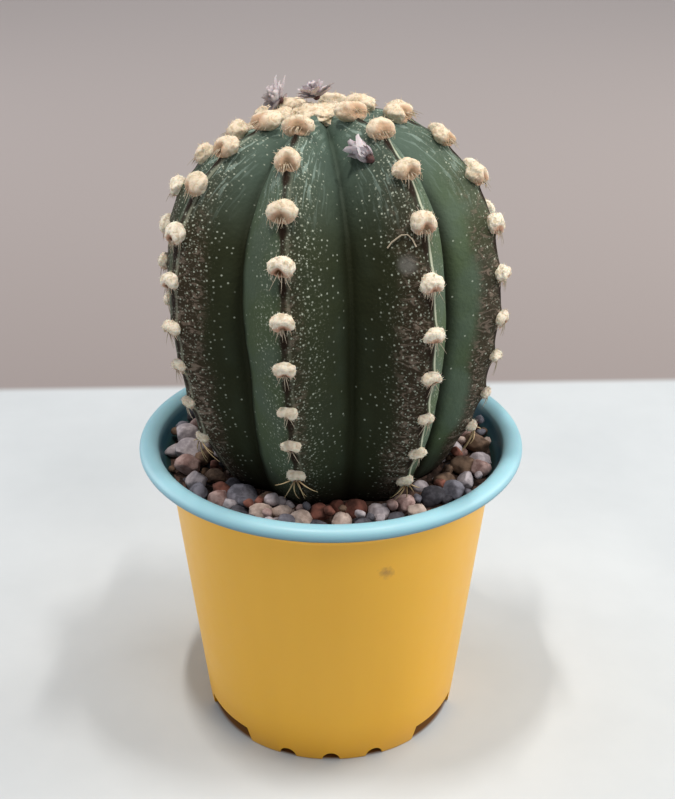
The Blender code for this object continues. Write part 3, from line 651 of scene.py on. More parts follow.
def stem_mesh():
    """The skin as one mesh, whose UV maps tell its finish where on the ribs it is."""
    rings = np.concatenate((np.linspace(END_GAP, CROWN_END, CROWN_RINGS),
                            np.linspace(CROWN_END, SIDE_END, SIDE_RINGS)[1:],
                            np.linspace(SIDE_END, crest_length - END_GAP, ROOT_RINGS)[1:]))
    across = np.linspace(-1, 1, RIB_COLUMNS + 1)
    shape = (len(rings), len(RIBS), RIB_COLUMNS + 1)
    columns = len(RIBS) * RIB_COLUMNS
    acrosses = np.broadcast_to(across, shape)
    distances = np.broadcast_to(rings[:, None, None], shape)
    points = stem_points(np.broadcast_to(np.arange(len(RIBS))[:, None], shape), acrosses,
                         distances)

    def to_areole(drop):
        """Distance of every ring and rib from the nearest areole, moved down by a drop."""
        return np.stack([np.abs(rings[:, None] - drop - areole_places(rib)).min(axis=1)
                         for rib in range(len(RIBS))], 1)[:, :, None]

    mound = np.exp(-(to_areole(0) / MOUND_RADIUS) ** 2)
    seen = smooth_step(rings / MOUNDS_RISE) \
        * (1 - smooth_step((rings - LAST_AREOLE) / MOUNDS_FADE))
    relief = (mound * MOUND_HEIGHT - CREST_SINK) * np.exp(-(across / CREST_WIDTH) ** 2) \
        * seen[:, None, None]
    grid = points[:, :, :-1].reshape(len(rings), columns, 3)
    bumps = relief[:, :, :-1].reshape(len(rings), columns)
    for spot in np.ndindex(bumps.shape):
        place = Vector(grid[spot])
        bumps[spot] += sum(height * noise.noise(place * waves) for waves, height in SKIN_WAVES)
    flows = np.gradient(grid, axis=0)
    sides = np.roll(grid, -1, axis=1) - np.roll(grid, 1, axis=1)
    outward = np.cross(flows, sides)
    outward /= np.maximum(np.linalg.norm(outward, axis=2), 1e-12)[:, :, None]
    fade = smooth_step(rings / WAVES_RISE) * (1 - smooth_step((rings - WAVES_END) / WAVES_FADE))
    grid = grid + outward * (bumps * fade[:, None])[:, :, None]
    mesh = bpy.data.meshes.new("stem_skin")
    mesh.from_pydata([stem_points(0, 0.0, 0.0).tolist(), stem_points(0, 0.0, crest_length).tolist(),
                      *grid.reshape(-1, 3).tolist()], [], ring_faces(len(rings), columns))

    girth = np.concatenate((np.zeros(shape[:2] + (1,)),
                            np.cumsum(np.linalg.norm(np.diff(points, axis=2), axis=3), axis=2)), 2)
    girth -= girth[:, :, RIB_COLUMNS // 2][:, :, None]
    # Painted shadow: the shade that each tuft of wool casts on the skin below it.
    wool_shadow = np.exp(-(to_areole(WOOL_SHADOW_DROP) / WOOL_SHADOW_LENGTH) ** 2) \
        * np.exp(-(girth / WOOL_SHADOW_WIDTH) ** 2)
    turn = smooth_step((across + FLANK_TURN) / (2 * FLANK_TURN))
    scaly = FLANKS[:, 0:1] * (1 - turn) + FLANKS[:, 1:2] * turn
    corky = FLANKS[:, 2:3] * (1 - turn) + FLANKS[:, 3:4] * turn
    for name, first, second in (("skin", girth / MM, distances / MM),
                                ("ribs", acrosses, FLANKS[:, 4:5]), ("flank", scaly, corky),
                                ("wool_shadow", wool_shadow, 0.0)):
        values = np.stack(np.broadcast_arrays(first, second, points[..., 0])[:2], -1)
        bands = np.stack((values[:-1, :, :-1], values[1:, :, :-1], values[1:, :, 1:],
                          values[:-1, :, 1:]), 3)
        fans = np.repeat(values[[0, -1]][:, :, :-1], 3, axis=2)
        layer = mesh.uv_layers.new(name=name)
        layer.data.foreach_set("uv", np.concatenate((bands.ravel(), fans.ravel()))
                               .astype(np.float32))
    mesh.shade_smooth()
    return mesh


def cactus_skin():
    """Waxy matt skin: grey green, bluer at the crown, with white scales and brown cork."""
    material, shader = new_finish("cactus skin, waxy and scaly",
                                  {"Roughness": 0.68, "Specular IOR Level": 0.09})
    place = add_node(material, "TexCoord").outputs["Object"]
    skin = add_node(material, "UVMap", uv_map="skin")
    girth, down = add_node(material, "SeparateXYZ", (skin,)).outputs[:2]
    looks = []
    for name in ("ribs", "flank", "wool_shadow"):
        look = add_node(material, "UVMap", uv_map=name)
        looks += add_node(material, "SeparateXYZ", (look,)).outputs[:2]
    across, seam_share, scaly, corky, wool_shadow_share = looks[:5]
    away = add_node(material, "Math", (across,), operation="ABSOLUTE")
    broad = add_node(material, "TexNoise", {"Vector": place, "Scale": 1 / BLOTCH_SIZE,
                                            "Detail": 4.0})
    edge = add_node(material, "Math", (broad, 0.5, away), operation="MULTIPLY_ADD")
    worn = add_node(material, "Math", (corky, 0.55, 0.3), operation="MULTIPLY_ADD")
    within = add_node(material, "Math", (worn, edge), operation="SUBTRACT")
    from_slit = add_node(material, "Math", (girth,), operation="ABSOLUTE")
    beside_slit = add_node(material, "Math", (girth, SEAM_OFFSET), operation="SUBTRACT")
    from_seam = add_node(material, "Math", (beside_slit,), operation="ABSOLUTE")
    to_scar = add_node(material, "VectorMath", (place, SCAR_PLACE), operation="DISTANCE")
    ragged = add_node(material, "Math", (broad, SCAR_RAGGED, to_scar), operation="MULTIPLY_ADD")

    grains = []
    for width, length, detail, roughness, distortion in (HAIRS, FLECKS, WRINKLES):
        stretched = add_node(material, "Mapping", {"Vector": skin,
                                                   "Scale": (1 / width, 1 / length, 1)})
        grains.append(add_node(material, "TexNoise",
                               {"Vector": stretched, "Scale": 1.0, "Detail": detail,
                                "Roughness": roughness, "Distortion": distortion}))
    hairs, flecks, wrinkles = grains
    cork = share_of(material, (wrinkles, 0.50, 0.62), corky, (within, 0.05, 0.3),
                    (down, 34.0, 78.0))
    scales = []
    for spacing, inner, outer, near, far, share in SCALES:
        cells = add_node(material, "TexVoronoi",
                         {"Vector": skin, "Scale": 1 / spacing, "Randomness": 0.85},
                         voronoi_dimensions="2D")
        chance = add_node(material, "SeparateColor", (cells.outputs["Color"],)).outputs
        wanted = share_of(material, (edge, far, near, 0.0, share), scaly)
        present = add_node(material, "Math", (chance["Red"], wanted), operation="LESS_THAN")
        strength = add_node(material, "Math", (chance["Green"], 0.58, 0.16),
                            operation="MULTIPLY_ADD")
        scales.append(("bfc6b4", (cells, outer, inner), present, strength, (down, 8.0, 18.0)))

    # From the green up: mottling, painted shade in the valleys, scaly flanks, the young
    # crown, brown flanks, crown hairs, flecks, cork wrinkles, the seam beside the crest, the
    # slit along it, the white scales, painted shadow under the wool, painted shade low on
    # the stem and the scar.
    young = lay_tones(material, "495b4f", ("5f7066", broad))
    colour = lay_tones(
        material, "58694d",
        ("5d6e5c", (broad, 0.38, 0.62)),
        # painted shade: darker towards the valleys
        ("10160a", (away, 0.70, 0.96)),
        ("2a2d1c", scaly, (edge, 1.35, 0.85, 0.80, 1.0)),
        (young, (down, 60.0, 14.0), (away, 1.0, 0.8, 0.6, 1.0)),
        ("3a2f24", corky, (within, 0.0, 0.3), (down, 30.0, 80.0, 0.1, 0.9)),
        ("92a59b", (hairs, 0.52, 0.64), (edge, 1.1, 0.5), (down, 58.0, 26.0, 0.0, 0.75)),
        ("a3a693", (flecks, 0.58, 0.70), (edge, 0.95, 0.35), (down, 10.0, 22.0, 0.0, 0.55)),
        ("796b5e", cork),
        ("b5b8a2", seam_share, (from_seam, 0.60, 0.22), (down, 18.0, 30.0, 0.0, 0.9)),
        ("2a2019", (from_slit, 1.0, 0.3), (down, 10.0, 24.0, 0.0, 0.75)),
        *scales,
        # painted shadow under each tuft of wool
        ("24170e", (wool_shadow_share, 0.15, 0.75, 0.0, 0.9)),
        # painted shade low on the stem, under its bulge
        ("1c1610", (down, 116.0, 134.0, 0.0, 0.75)),
        ("77756f", (ragged, 5.8 * MM, 3.6 * MM, 0.0, 0.65)),
    )
    pores = add_node(material, "TexNoise", {"Vector": place, "Scale": 1 / PORE_SIZE,
                                            "Detail": 3.0})
    height = add_node(material, "Math", (cork, 1.4, pores), operation="MULTIPLY_ADD")
    bump = add_node(material, "Bump", {"Height": height, "Strength": 0.6,
                                       "Distance": 0.35 * MM})
    connect(material, shader, {"Base Color": colour, "Normal": bump})
    return material


SCAR_PLACE = Vector(stem_points(1, -0.26, 61 * MM))
stem_piece = add_piece("stem_skin", stem_mesh(), "cactus_skin", cactus_skin())
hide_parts("stem")


# Wool. Each areole is a cap of cream felt that grew on the crest: domed and lumpy on
# top, hollow on its lower side where the spines come out, with loose fibres. It is
# browner on its lower side and in the hollow, partly its own brown and partly painted
# shade, and darker in the dips between its lumps as painted shade.
TUFT_HALF = np.array((3.192, 3.8, 2.484)) * MM
TUFT_LIFT = 0.54 * MM
TUFT_VARIETY = (0.88, 1.08)
LOOSE_FIBRES = 150
LOOSE_REACH = (0.3 * MM, 0.95 * MM)
LOOSE_ROOT = 0.97
BARE_HOLLOW = 0.35
BARE_BELOW = -0.35
FIBRE_RADIUS = 0.06 * MM
FIBRE_VARIETY = (0.7, 1.2)
FIBRE_TAPER = np.array((1.2, 1.0, 0.8, 0.25))
FIBRE_SWAY = 0.75
FIBRE_CURL = 0.36
FRINGE_FIBRES = 15
FRINGE_REACH = (0.9 * MM, 2.7 * MM)
FRINGE_RADIUS = 0.096 * MM
FRINGE_STEPS = 5
FRINGE_TAPER = (1.2, 0.3)
FRINGE_SIDE = 0.95
FRINGE_SWAY = 0.16
FRINGE_SAG = 0.25
CROWN_WOOL = (8.0 * MM, 8.0 * MM, 2.8 * MM)
CROWN_FIBRES = 900
CROWN_FIBRE_REACH = (0.4 * MM, 1.2 * MM)
FELT_LUMP = 1.18 * MM
CROWN_TINT_HEIGHTS = (66 * MM, 84 * MM)
AREOLE_NUDGE = 0.5 * MM
UNLIKE_ANY_TUBE = (0.31, 0.87, 0.39)

# Tufts are crowded and large near the crown, and below it they are worn small and short.
CROWDED_END = 34 * MM
CROWDED_FADE = 18 * MM
CROWDED_GAIN = 0.2
WORN_START = 42 * MM
WORN_LENGTH = 66 * MM
WORN_LOSS = 0.35
WORN_SHORTER = 0.2

# The hollow and the lumps of a tuft, as shares of its half size: where the hollow lies,
# how far it reaches, how far aside and how deep it can be, the size of the lumps and how
# high they stand, how brown the underside and the hollow are, partly painted shade, and
# how much painted shade darkens the dips between the lumps and pales the lumps.
HOLLOW_PLACE = 0.74
HOLLOW_HALF = (0.9, 0.56)
HOLLOW_EDGE = 1.25
HOLLOW_ASIDE = 0.25
HOLLOW_DEPTHS = (0.45, 1.0)
HOLLOW_SINK = 0.5
LUMP_SIZES = (0.75, 0.22)
LUMP_HEIGHTS = (0.09, 0.18)
FINE_LUMP_HEIGHT = 0.06
UNDERSIDE_BROWN_AND_SHADE = 0.5
HOLLOW_BROWN_AND_SHADE = 0.6
CREVICE_SHADE = 0.9


def ball(subdivisions):
    """Unit vectors and faces of an even ball of triangles."""
    shape = bmesh.new()
    bmesh.ops.create_icosphere(shape, subdivisions=subdivisions, radius=1)
    points = np.array([corner.co[:] for corner in shape.verts])
    faces = np.array([[corner.index for corner in face.verts] for face in shape.faces])
    shape.free()
    return points, faces


def skin_frame(rib, across, distance):
    """Place on the stem, with the directions down it, across it and out of it."""
    step = 0.5 * MM
    down = stem_points(rib, across, distance + step, 0.0) \
        - stem_points(rib, across, distance - step, 0.0)
    beside = stem_points(rib, across + 0.1, distance, 0.0) \
        - stem_points(rib, across - 0.1, distance, 0.0)
    out = np.cross(down, beside)
    out /= np.linalg.norm(out)
    down /= np.linalg.norm(down)
    return stem_points(rib, across, distance, 0.0), np.array((down, np.cross(out, down), out))


def tubes(paths, radii, sides):
    """Verts and faces of thin tubes along paths, given as tubes by steps by three."""
    count, steps = paths.shape[:2]
    along = np.gradient(paths, axis=1)
    along /= np.linalg.norm(along, axis=2)[..., None]
    start = np.cross(along[:, :1], np.array(UNLIKE_ANY_TUBE))
    first = np.broadcast_to(start, along.shape) - along * np.sum(start * along, 2)[..., None]
    first = first / np.linalg.norm(first, axis=2)[..., None]
    second = np.cross(along, first)
    turn = np.arange(sides) * 2 * math.pi / sides
    ring = (first[:, :, None] * np.cos(turn)[:, None] + second[:, :, None] * np.sin(turn)[:, None])
    verts = (paths[:, :, None] + ring * radii[:, :, None, None]).reshape(-1, 3)
    index = np.arange(count * steps * sides).reshape(count, steps, sides)
    beside = np.roll(index, -1, axis=2)
    faces = np.stack((index[:, :-1], beside[:, :-1], beside[:, 1:], index[:, 1:]), -1)
    return verts, faces.reshape(-1, 4)


def joined_mesh(name, parts):
    """One mesh from parts, each with verts, faces, a two-number look and a slot."""
    verts = np.concatenate([part[0] for part in parts])
    faces = []
    looks = []
    slots = []
    start = 0
    for part_verts, part_faces, look, slot in parts:
        look = np.broadcast_to(look, (len(part_verts), 2))
        faces += (part_faces + start).tolist()
        looks.append(look[part_faces.ravel()])
        slots += [slot] * len(part_faces)
        start += len(part_verts)
    mesh = bpy.data.meshes.new(name)
    mesh.from_pydata(verts.tolist(), [], faces)
    layer = mesh.uv_layers.new(name="look")
    layer.data.foreach_set("uv", np.concatenate(looks).astype(np.float32).ravel())
    mesh.polygons.foreach_set("material_index", slots)
    mesh.shade_smooth()
    return mesh


def fractal(points, size, seed):
    """Soft noise of about one at each point, with lumps of the given size."""
    shift = Vector((seed * 7.3, seed * 3.1, seed * 5.7))
    return np.array([noise.fractal(Vector(point) / size + shift, 1.0, 2.0, 3) for point in points])


def tuft_scale(distance):
    """Size and wear of a tuft: largest by the crown, and worn small down the rib."""
    crowded = float(smooth_step((CROWDED_END - distance) / CROWDED_FADE))
    worn = float(smooth_step((distance - WORN_START) / WORN_LENGTH))
    return 1.0 + CROWDED_GAIN * crowded - WORN_LOSS * worn, worn


def hollow_of(units, aside):
    """How far each direction of a tuft lies in the hollow at its lower middle."""
    away = np.hypot((units[:, 0] - HOLLOW_PLACE) / HOLLOW_HALF[0],
                    (units[:, 1] - aside) / HOLLOW_HALF[1])
    return smooth_step(HOLLOW_EDGE - away) * smooth_step((units[:, 2] + 0.5) / 0.4)


def wool_fibres(roots, units, frame_axes, lengths, draw):
    """Loose curved fibres that stand out of the wool."""
    count = len(roots)
    heading = units + draw.normal(0, FIBRE_SWAY, (count, 3))
    heading /= np.linalg.norm(heading, axis=1)[:, None]
    curl = draw.normal(0, FIBRE_CURL, (count, 3))
    steps = np.linspace(0, 1, len(FIBRE_TAPER))[None, :, None]
    paths = roots[:, None] + lengths[:, None, None] * (
        heading[:, None] * steps + curl[:, None] * steps ** 2)
    radii = FIBRE_RADIUS * draw.uniform(*FIBRE_VARIETY, (count, 1)) * FIBRE_TAPER
    return tubes(paths @ frame_axes, radii, 3)


def wool_tuft(rib, distance, scale, worn, draw):
    """The felt cap of one areole, its loose fibres and its fringe, as mesh parts."""
    place, axes = skin_frame(rib, 0.0, distance)
    units, faces = ball(4)
    hollow = hollow_of(units, draw.uniform(-HOLLOW_ASIDE, HOLLOW_ASIDE)) \
        * draw.uniform(*HOLLOW_DEPTHS)
    seed = draw.uniform(0, 40)
    lumps = fractal(units, LUMP_SIZES[0], seed) * draw.uniform(*LUMP_HEIGHTS) \
        + fractal(units, LUMP_SIZES[1], seed) * FINE_LUMP_HEIGHT
    half = TUFT_HALF * np.array((1 - WORN_SHORTER * worn, 1, 1)) * scale
    half = half * draw.uniform(*TUFT_VARIETY, 3)
    shape = units * half * (1 + lumps - HOLLOW_SINK * hollow)[:, None]
    shape[:, 2] += TUFT_LIFT * scale
    # Browner on the lower side, in the hollow and in the dips between lumps: partly the felt's own
    # brown, partly painted shade.
    brown_and_shade = UNDERSIDE_BROWN_AND_SHADE * smooth_step(units[:, 0] * 0.8 + 0.3) + HOLLOW_BROWN_AND_SHADE * hollow \
        - CREVICE_SHADE * lumps
    look = np.stack((np.clip(brown_and_shade, 0, 1), np.full(len(units), worn)), 1)
    parts = [(place + shape @ axes, faces, look, 0)]

    picked = draw.choice(len(units), LOOSE_FIBRES)
    picked = picked[(hollow[picked] < BARE_HOLLOW) & (units[picked, 2] > BARE_BELOW)]
    lengths = draw.uniform(*LOOSE_REACH, len(picked)) * scale
    fibre_verts, fibre_faces = wool_fibres(shape[picked] * LOOSE_ROOT, units[picked], axes,
                                           lengths, draw)
    parts.append((fibre_verts + place, fibre_faces, np.array((0.05, worn)), 0))

    side = draw.uniform(-FRINGE_SIDE, FRINGE_SIDE, FRINGE_FIBRES)
    roots = np.stack((0.35 + 0.3 * (1 - side ** 2), side, 0.15 + 0.45 * (1 - np.abs(side))), 1) \
        * half * draw.uniform(0.85, 1.0, (FRINGE_FIBRES, 3))
    hang = np.stack((np.ones(FRINGE_FIBRES),
                     side * 0.1 + draw.normal(0, FRINGE_SWAY, FRINGE_FIBRES),
                     draw.uniform(-0.25, 0.2, FRINGE_FIBRES)), 1)
    t = np.linspace(0, 1, FRINGE_STEPS)[None, :, None]
    sag = -FRINGE_SAG * np.stack((0 * side, side, np.ones(FRINGE_FIBRES)), 1)
    reach = draw.uniform(*FRINGE_REACH, (FRINGE_FIBRES, 1, 1)) * scale
    paths = roots[:, None] + reach * (hang[:, None] * t + sag[:, None] * t ** 2)
    radii = FRINGE_RADIUS * np.linspace(*FRINGE_TAPER, FRINGE_STEPS)[None] \
        * np.ones((FRINGE_FIBRES, 1))
    hang_verts, hang_faces = tubes(paths @ axes, radii, 3)
    parts.append((hang_verts + place, hang_faces, np.array((0.4, worn)), 0))
    return parts


def areole_wool():
    """Cream felt: matt, greyer with age; paler lumps and warm brown hollows, partly painted shade.
    """
    material, shader = new_finish("areole wool, cream felt",
                                  {"Roughness": 0.95, "Specular IOR Level": 0.1,
                                   "Subsurface Weight": 0.12, "Subsurface Scale": 0.8 * MM})
    look = add_node(material, "UVMap", uv_map="look")
    brown_and_shade, worn = add_node(material, "SeparateXYZ", (look,)).outputs[:2]
    place = add_node(material, "TexCoord").outputs["Object"]
    height = add_node(material, "SeparateXYZ", (place,)).outputs["Z"]
    felt = add_node(material, "TexNoise", {"Vector": place, "Scale": 1 / FELT_LUMP,
                                           "Detail": 4.0, "Distortion": 0.6})
    start, end = CROWN_TINT_HEIGHTS
    colour = lay_tones(
        material, "cfbfa5",
        ("f2e9d6", (felt, 0.34, 0.58)),
        ("bcae9b", worn, 0.5),
        # brown under the tuft and in its hollows, partly painted shade
        ("b8917a", (brown_and_shade, 0.22, 0.62)),
        ("553722", (brown_and_shade, 0.6, 1.0)),
        ("c2a988", (height, rim_height + start, rim_height + end, 0.0, 0.45)),
    )
    bump = add_node(material, "Bump", {"Height": felt, "Strength": 0.7, "Distance": 0.3 * MM})
    connect(material, shader, {"Base Color": colour, "Normal": bump})
    return material


def crown_wool(draw):
    """The felt that covers the growing point, in lumps, with its fibres."""
    units, faces = ball(5)
    lumps = fractal(units, 0.40, 3.0) * 0.20 + fractal(units, 0.14, 3.0) * 0.06
    centre = stem_points(0, 0.0, 0.0)
    shape = units * np.array(CROWN_WOOL) * (1 + lumps)[:, None]
    # Painted shade: the dips between the crown's lumps are browner.
    look = np.stack((np.clip(-lumps * 1.6, 0, 1), np.zeros(len(units))), 1)
    picked = draw.choice(len(units), CROWN_FIBRES)
    picked = picked[units[picked, 2] > -0.1]
    lengths = draw.uniform(*CROWN_FIBRE_REACH, len(picked))
    fibre_verts, fibre_faces = wool_fibres(shape[picked] * 0.97, units[picked], np.eye(3),
                                           lengths, draw)
    return [(centre + shape, faces, look, 0),
            (centre + fibre_verts, fibre_faces, np.array((0.0, 0.0)), 0)]


# Every areole: its rib, place, size, wear, and if it is the last one on its rib. Its nudge
# is the solid's own, so the draws that the solid's spines take are passed over.
nudge_draw = random.Random(11)
areoles = []
for rib_number in range(len(RIBS)):
    rib_places = areole_places(rib_number)
    for rib_place in rib_places:
        is_last = rib_place == rib_places[-1]
        nudge = nudge_draw.uniform(-AREOLE_NUDGE, AREOLE_NUDGE)
        areoles.append((rib_number, rib_place + nudge, *tuft_scale(rib_place), is_last))
        for _ in range(11 if is_last else 7):
            nudge_draw.uniform(0, 1)

wool_draw = np.random.default_rng(5)
wool_finish = areole_wool()
for half_name, half_ribs in (("front_wool", (6, 7, 0, 1, 2)), ("rear_wool", (3, 4, 5))):
    wool_parts = []
    for rib_number, rib_place, size, worn_share, is_last in areoles:
        if rib_number in half_ribs:
            wool_parts += wool_tuft(rib_number, rib_place, size, worn_share, wool_draw)
    if half_name == "front_wool":
        wool_parts += crown_wool(wool_draw)
    wool_piece = add_piece(half_name, joined_mesh(half_name, wool_parts), "cactus_skin",
                           wool_finish)
    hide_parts("stem")


# Spines. Thin straw-coloured spines grew out of the areoles: short and pale on the
# ribs, longer, curled and yellower in the last areoles by the pebbles. One pale thread
# lies bowed on the right front rib.
SPINE_LENGTH = 4.2 * MM
BASE_SPINE_LENGTH = 7.5 * MM
SPINE_RADIUS = 0.14 * MM
BASE_SPINE_RADIUS = 0.224 * MM
SPINE_TAPER = 0.8
SPINE_CURL = 0.25
SPINE_SWAY = 0.16
SPINE_SAG = 0.25
BASE_SPINE_SAG = 0.42
SPINE_VARIETY = (0.65, 1.1)
ROOT_HEIGHT = 0.9 * MM
ROOT_REACH = 0.8 * MM
SPINE_SIDES = 5
SPINE_STEPS = 9
SHORT_HEADINGS = (-24, 3, 25)
BASE_HEADINGS = (-78, -34, -10, 14, 44, 76)
SHORT_RISES = (6, 20)
BASE_RISES = (24, 44)
HEADING_NUDGE = 9
THREAD_RIB = 1
THREAD_RADIUS = 0.2 * MM
THREAD = ((-0.47, 56.4), (-0.41, 55.2), (-0.35, 54.6), (-0.28, 54.0), (-0.21, 54.2),
          (-0.16, 55.4), (-0.13, 57.2))


def spine_horn():
    """Dry horn: satin straw, browner towards the root."""
    material, shader = new_finish("spine horn, dry straw",
                                  {"Roughness": 0.5, "Specular IOR Level": 0.4})
    look = add_node(material, "UVMap", uv_map="look")
    along, yellow = add_node(material, "SeparateXYZ", (look,)).outputs[:2]
    colour = lay_tones(material, "b5a791", ("c4aa80", yellow), ("6a4a2a", (along, 0.45, 0.0)))
    connect(material, shader, {"Base Color": colour})
    return material


def pointing(heading, rise):
    """Direction on the skin from a heading, in degrees from down, and a rise off it."""
    angle, lift = math.radians(heading), math.radians(rise)
    return np.array((math.cos(angle) * math.cos(lift), math.sin(angle) * math.cos(lift),
                     math.sin(lift)))


def spine_part(rib, distance, scale, heading, rise, length, yellow, draw):
    """One curved tapering spine, as a mesh part."""
    place, axes = skin_frame(rib, 0.0, distance)
    bend = np.array((SPINE_CURL, draw.normal(0, SPINE_SWAY),
                     -BASE_SPINE_SAG if yellow else -SPINE_SAG))
    t = np.linspace(0, 1, SPINE_STEPS)[:, None]
    path = np.array((0, 0, ROOT_HEIGHT)) + bend * length * t ** 2 \
        + pointing(heading, rise) * (ROOT_REACH * scale + t * length)
    radii = (BASE_SPINE_RADIUS if yellow else SPINE_RADIUS) * (1 - SPINE_TAPER * t[:, 0] ** 1.3)
    verts, faces = tubes(((path @ axes) + place)[None], radii[None], SPINE_SIDES)
    look = np.stack((np.repeat(t[:, 0], SPINE_SIDES), np.full(len(verts), float(yellow))), 1)
    return verts, faces, look, 0


spine_draw = np.random.default_rng(8)
spine_parts = []
for rib_number, rib_place, size, worn_share, is_last in areoles:
    for spine_heading in BASE_HEADINGS if is_last else SHORT_HEADINGS:
        turned_heading = spine_heading + spine_draw.uniform(-HEADING_NUDGE, HEADING_NUDGE)
        spine_rise = spine_draw.uniform(*(BASE_RISES if is_last else SHORT_RISES))
        reach = (BASE_SPINE_LENGTH if is_last else SPINE_LENGTH) \
            * spine_draw.uniform(*SPINE_VARIETY)
        spine_parts.append(spine_part(rib_number, rib_place, size, turned_heading, spine_rise,
                                      reach, is_last, spine_draw))
thread_path = np.array([stem_points(THREAD_RIB, side, along * MM) for side, along in THREAD])
thread_path[:, 1] -= 2 * THREAD_RADIUS
thread_verts, thread_faces = tubes(thread_path[None], np.full((1, len(THREAD)), THREAD_RADIUS),
                                   SPINE_SIDES)
spine_parts.append((thread_verts, thread_faces, np.array((1.0, 0.0)), 0))
spine_piece = add_piece("spines", joined_mesh("spines", spine_parts), "cactus_skin",
                        spine_horn())
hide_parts("stem")


# Withered flowers. Each is a dead bloom dried on the plant: a brown base and a sheaf of
# thin crumpled petals, papery and grey mauve. Each has its rib, place across and along
# it, heading, rise, length, widest spread, and the shift that its sagging gives it.
DRIED_FLOWERS = (
    (5, 0.35, 12.5 * MM, 0, 40, 7.6 * MM, 84, (2.6 * MM, 0, -1.6 * MM)),
    (5, 0.0, 3.0 * MM, 20, 70, 7.4 * MM, 80, (1.8 * MM, 0, -1.2 * MM)),
    (1, -0.4, 33.0 * MM, 205, 22, 8.5 * MM, 26, (0.8 * MM, 0, 0)),
)
DRY_PETALS = 52
PETAL_ROWS = 9
PETAL_COLUMNS = 5
PETAL_TURN = 2.4
PETAL_WIDTH = 0.22
PETAL_FOLDS = (0.3, 0.9)
PETAL_CURLS = (-0.12, 0.3)
PETAL_WOBBLE = 0.05
PETAL_OPENINGS = (0.2, 1)
PETAL_LENGTHS = (0.78, 0.98)
CLOSED_LENGTH = 0.6
PETAL_BASE = (1.1 * MM, 1.1 * MM, 1.5 * MM)
PETAL_BASE_LIFT = 0.9 * MM


def petal_paper():
    """Withered petal: matt grey mauve paper, paler at the tip and red brown at the base."""
    material, shader = new_finish("withered petal, grey mauve paper",
                                  {"Roughness": 0.85, "Specular IOR Level": 0.15,
                                   "Subsurface Weight": 0.1, "Subsurface Scale": 0.6 * MM})
    look = add_node(material, "UVMap", uv_map="look")
    along, pale = add_node(material, "SeparateXYZ", (look,)).outputs[:2]
    colour = lay_tones(material, "a3979d", ("d6cdd0", pale), ("d2c8cb", (along, 0.5, 1.0)),
                       ("4f2a22", (along, 0.34, 0.04)))
    connect(material, shader, {"Base Color": colour})
    return material


def dry_petal(length, spread, spin, draw):
    """One crumpled petal along Z from the origin, as verts, faces and look."""
    t = np.linspace(0, 1, PETAL_ROWS)[:, None]
    s = np.linspace(-1, 1, PETAL_COLUMNS)[None, :]
    width = PETAL_WIDTH * length * (0.35 + 0.9 * np.sin(np.pi * np.clip(t, 0.02, 0.97)) ** 0.7)
    fold = draw.uniform(*PETAL_FOLDS)
    wobble = draw.normal(0, PETAL_WOBBLE, (PETAL_ROWS, PETAL_COLUMNS)) * length * t
    x = s * width * math.cos(fold) + draw.normal(0, PETAL_WOBBLE) * length * np.sin(3 * t)
    y = np.abs(s) * width * math.sin(fold) + wobble \
        + draw.uniform(*PETAL_CURLS) * length * t ** 2.5
    z = length * t * draw.uniform(0.9, 1.0) * math.cos(spread)
    y = y - length * math.sin(spread) * t
    points = np.stack(np.broadcast_arrays(x, y, z), -1).reshape(-1, 3)
    turned = np.array(Matrix.Rotation(spin, 3, "Z"))
    index = np.arange(PETAL_ROWS * PETAL_COLUMNS).reshape(PETAL_ROWS, PETAL_COLUMNS)
    faces = np.stack((index[:-1, :-1], index[:-1, 1:], index[1:, 1:], index[1:, :-1]), -1)
    look = np.stack((np.repeat(t[:, 0], PETAL_COLUMNS),
                     np.full(index.size, draw.uniform(0, 1))), 1)
    return points @ turned.T, faces.reshape(-1, 4), look


petal_finish = petal_paper()
flower_draw = np.random.default_rng(3)
for number, flower_words in enumerate(DRIED_FLOWERS, 1):
    rib_number, side, rib_place, heading, rise, length, widest, sag = flower_words
    node_name = "dried_flower_" + str(number)
    place, axes = skin_frame(rib_number, side, rib_place)
    upright = np.array(Vector(pointing(heading, rise) @ axes).to_track_quat("Z", "Y").to_matrix())
    flower_parts = []
    for petal_number in range(DRY_PETALS):
        opening = flower_draw.uniform(*PETAL_OPENINGS)
        petal_length = length * flower_draw.uniform(*PETAL_LENGTHS) \
            * (CLOSED_LENGTH + (1 - CLOSED_LENGTH) * opening)
        points, petal_faces, petal_look = dry_petal(petal_length, math.radians(opening * widest),
                                                    PETAL_TURN * petal_number, flower_draw)
        flower_parts.append((points @ upright.T, petal_faces, petal_look, 0))
    units, ball_faces = ball(3)
    base = units * np.array(PETAL_BASE) * (1 + 0.1 * fractal(units, 0.5, number))[:, None]
    flower_parts.append(((base + np.array((0, 0, PETAL_BASE_LIFT))) @ upright.T, ball_faces,
                         np.array((0.1, 0.2)), 0))
    flower_mesh = joined_mesh("withered_bloom_" + str(number), flower_parts)
    low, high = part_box(node_name)
    corners = np.array([corner.co[:] for corner in flower_mesh.vertices])
    shift = (np.array(low) + np.array(high) - corners.min(0) - corners.max(0)) / 2 + sag
    flower_mesh.transform(Matrix.Translation(Vector(shift)))
    flower_piece = add_piece("withered_bloom_" + str(number), flower_mesh, "dried_petals",
                             petal_finish)
    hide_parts(node_name)


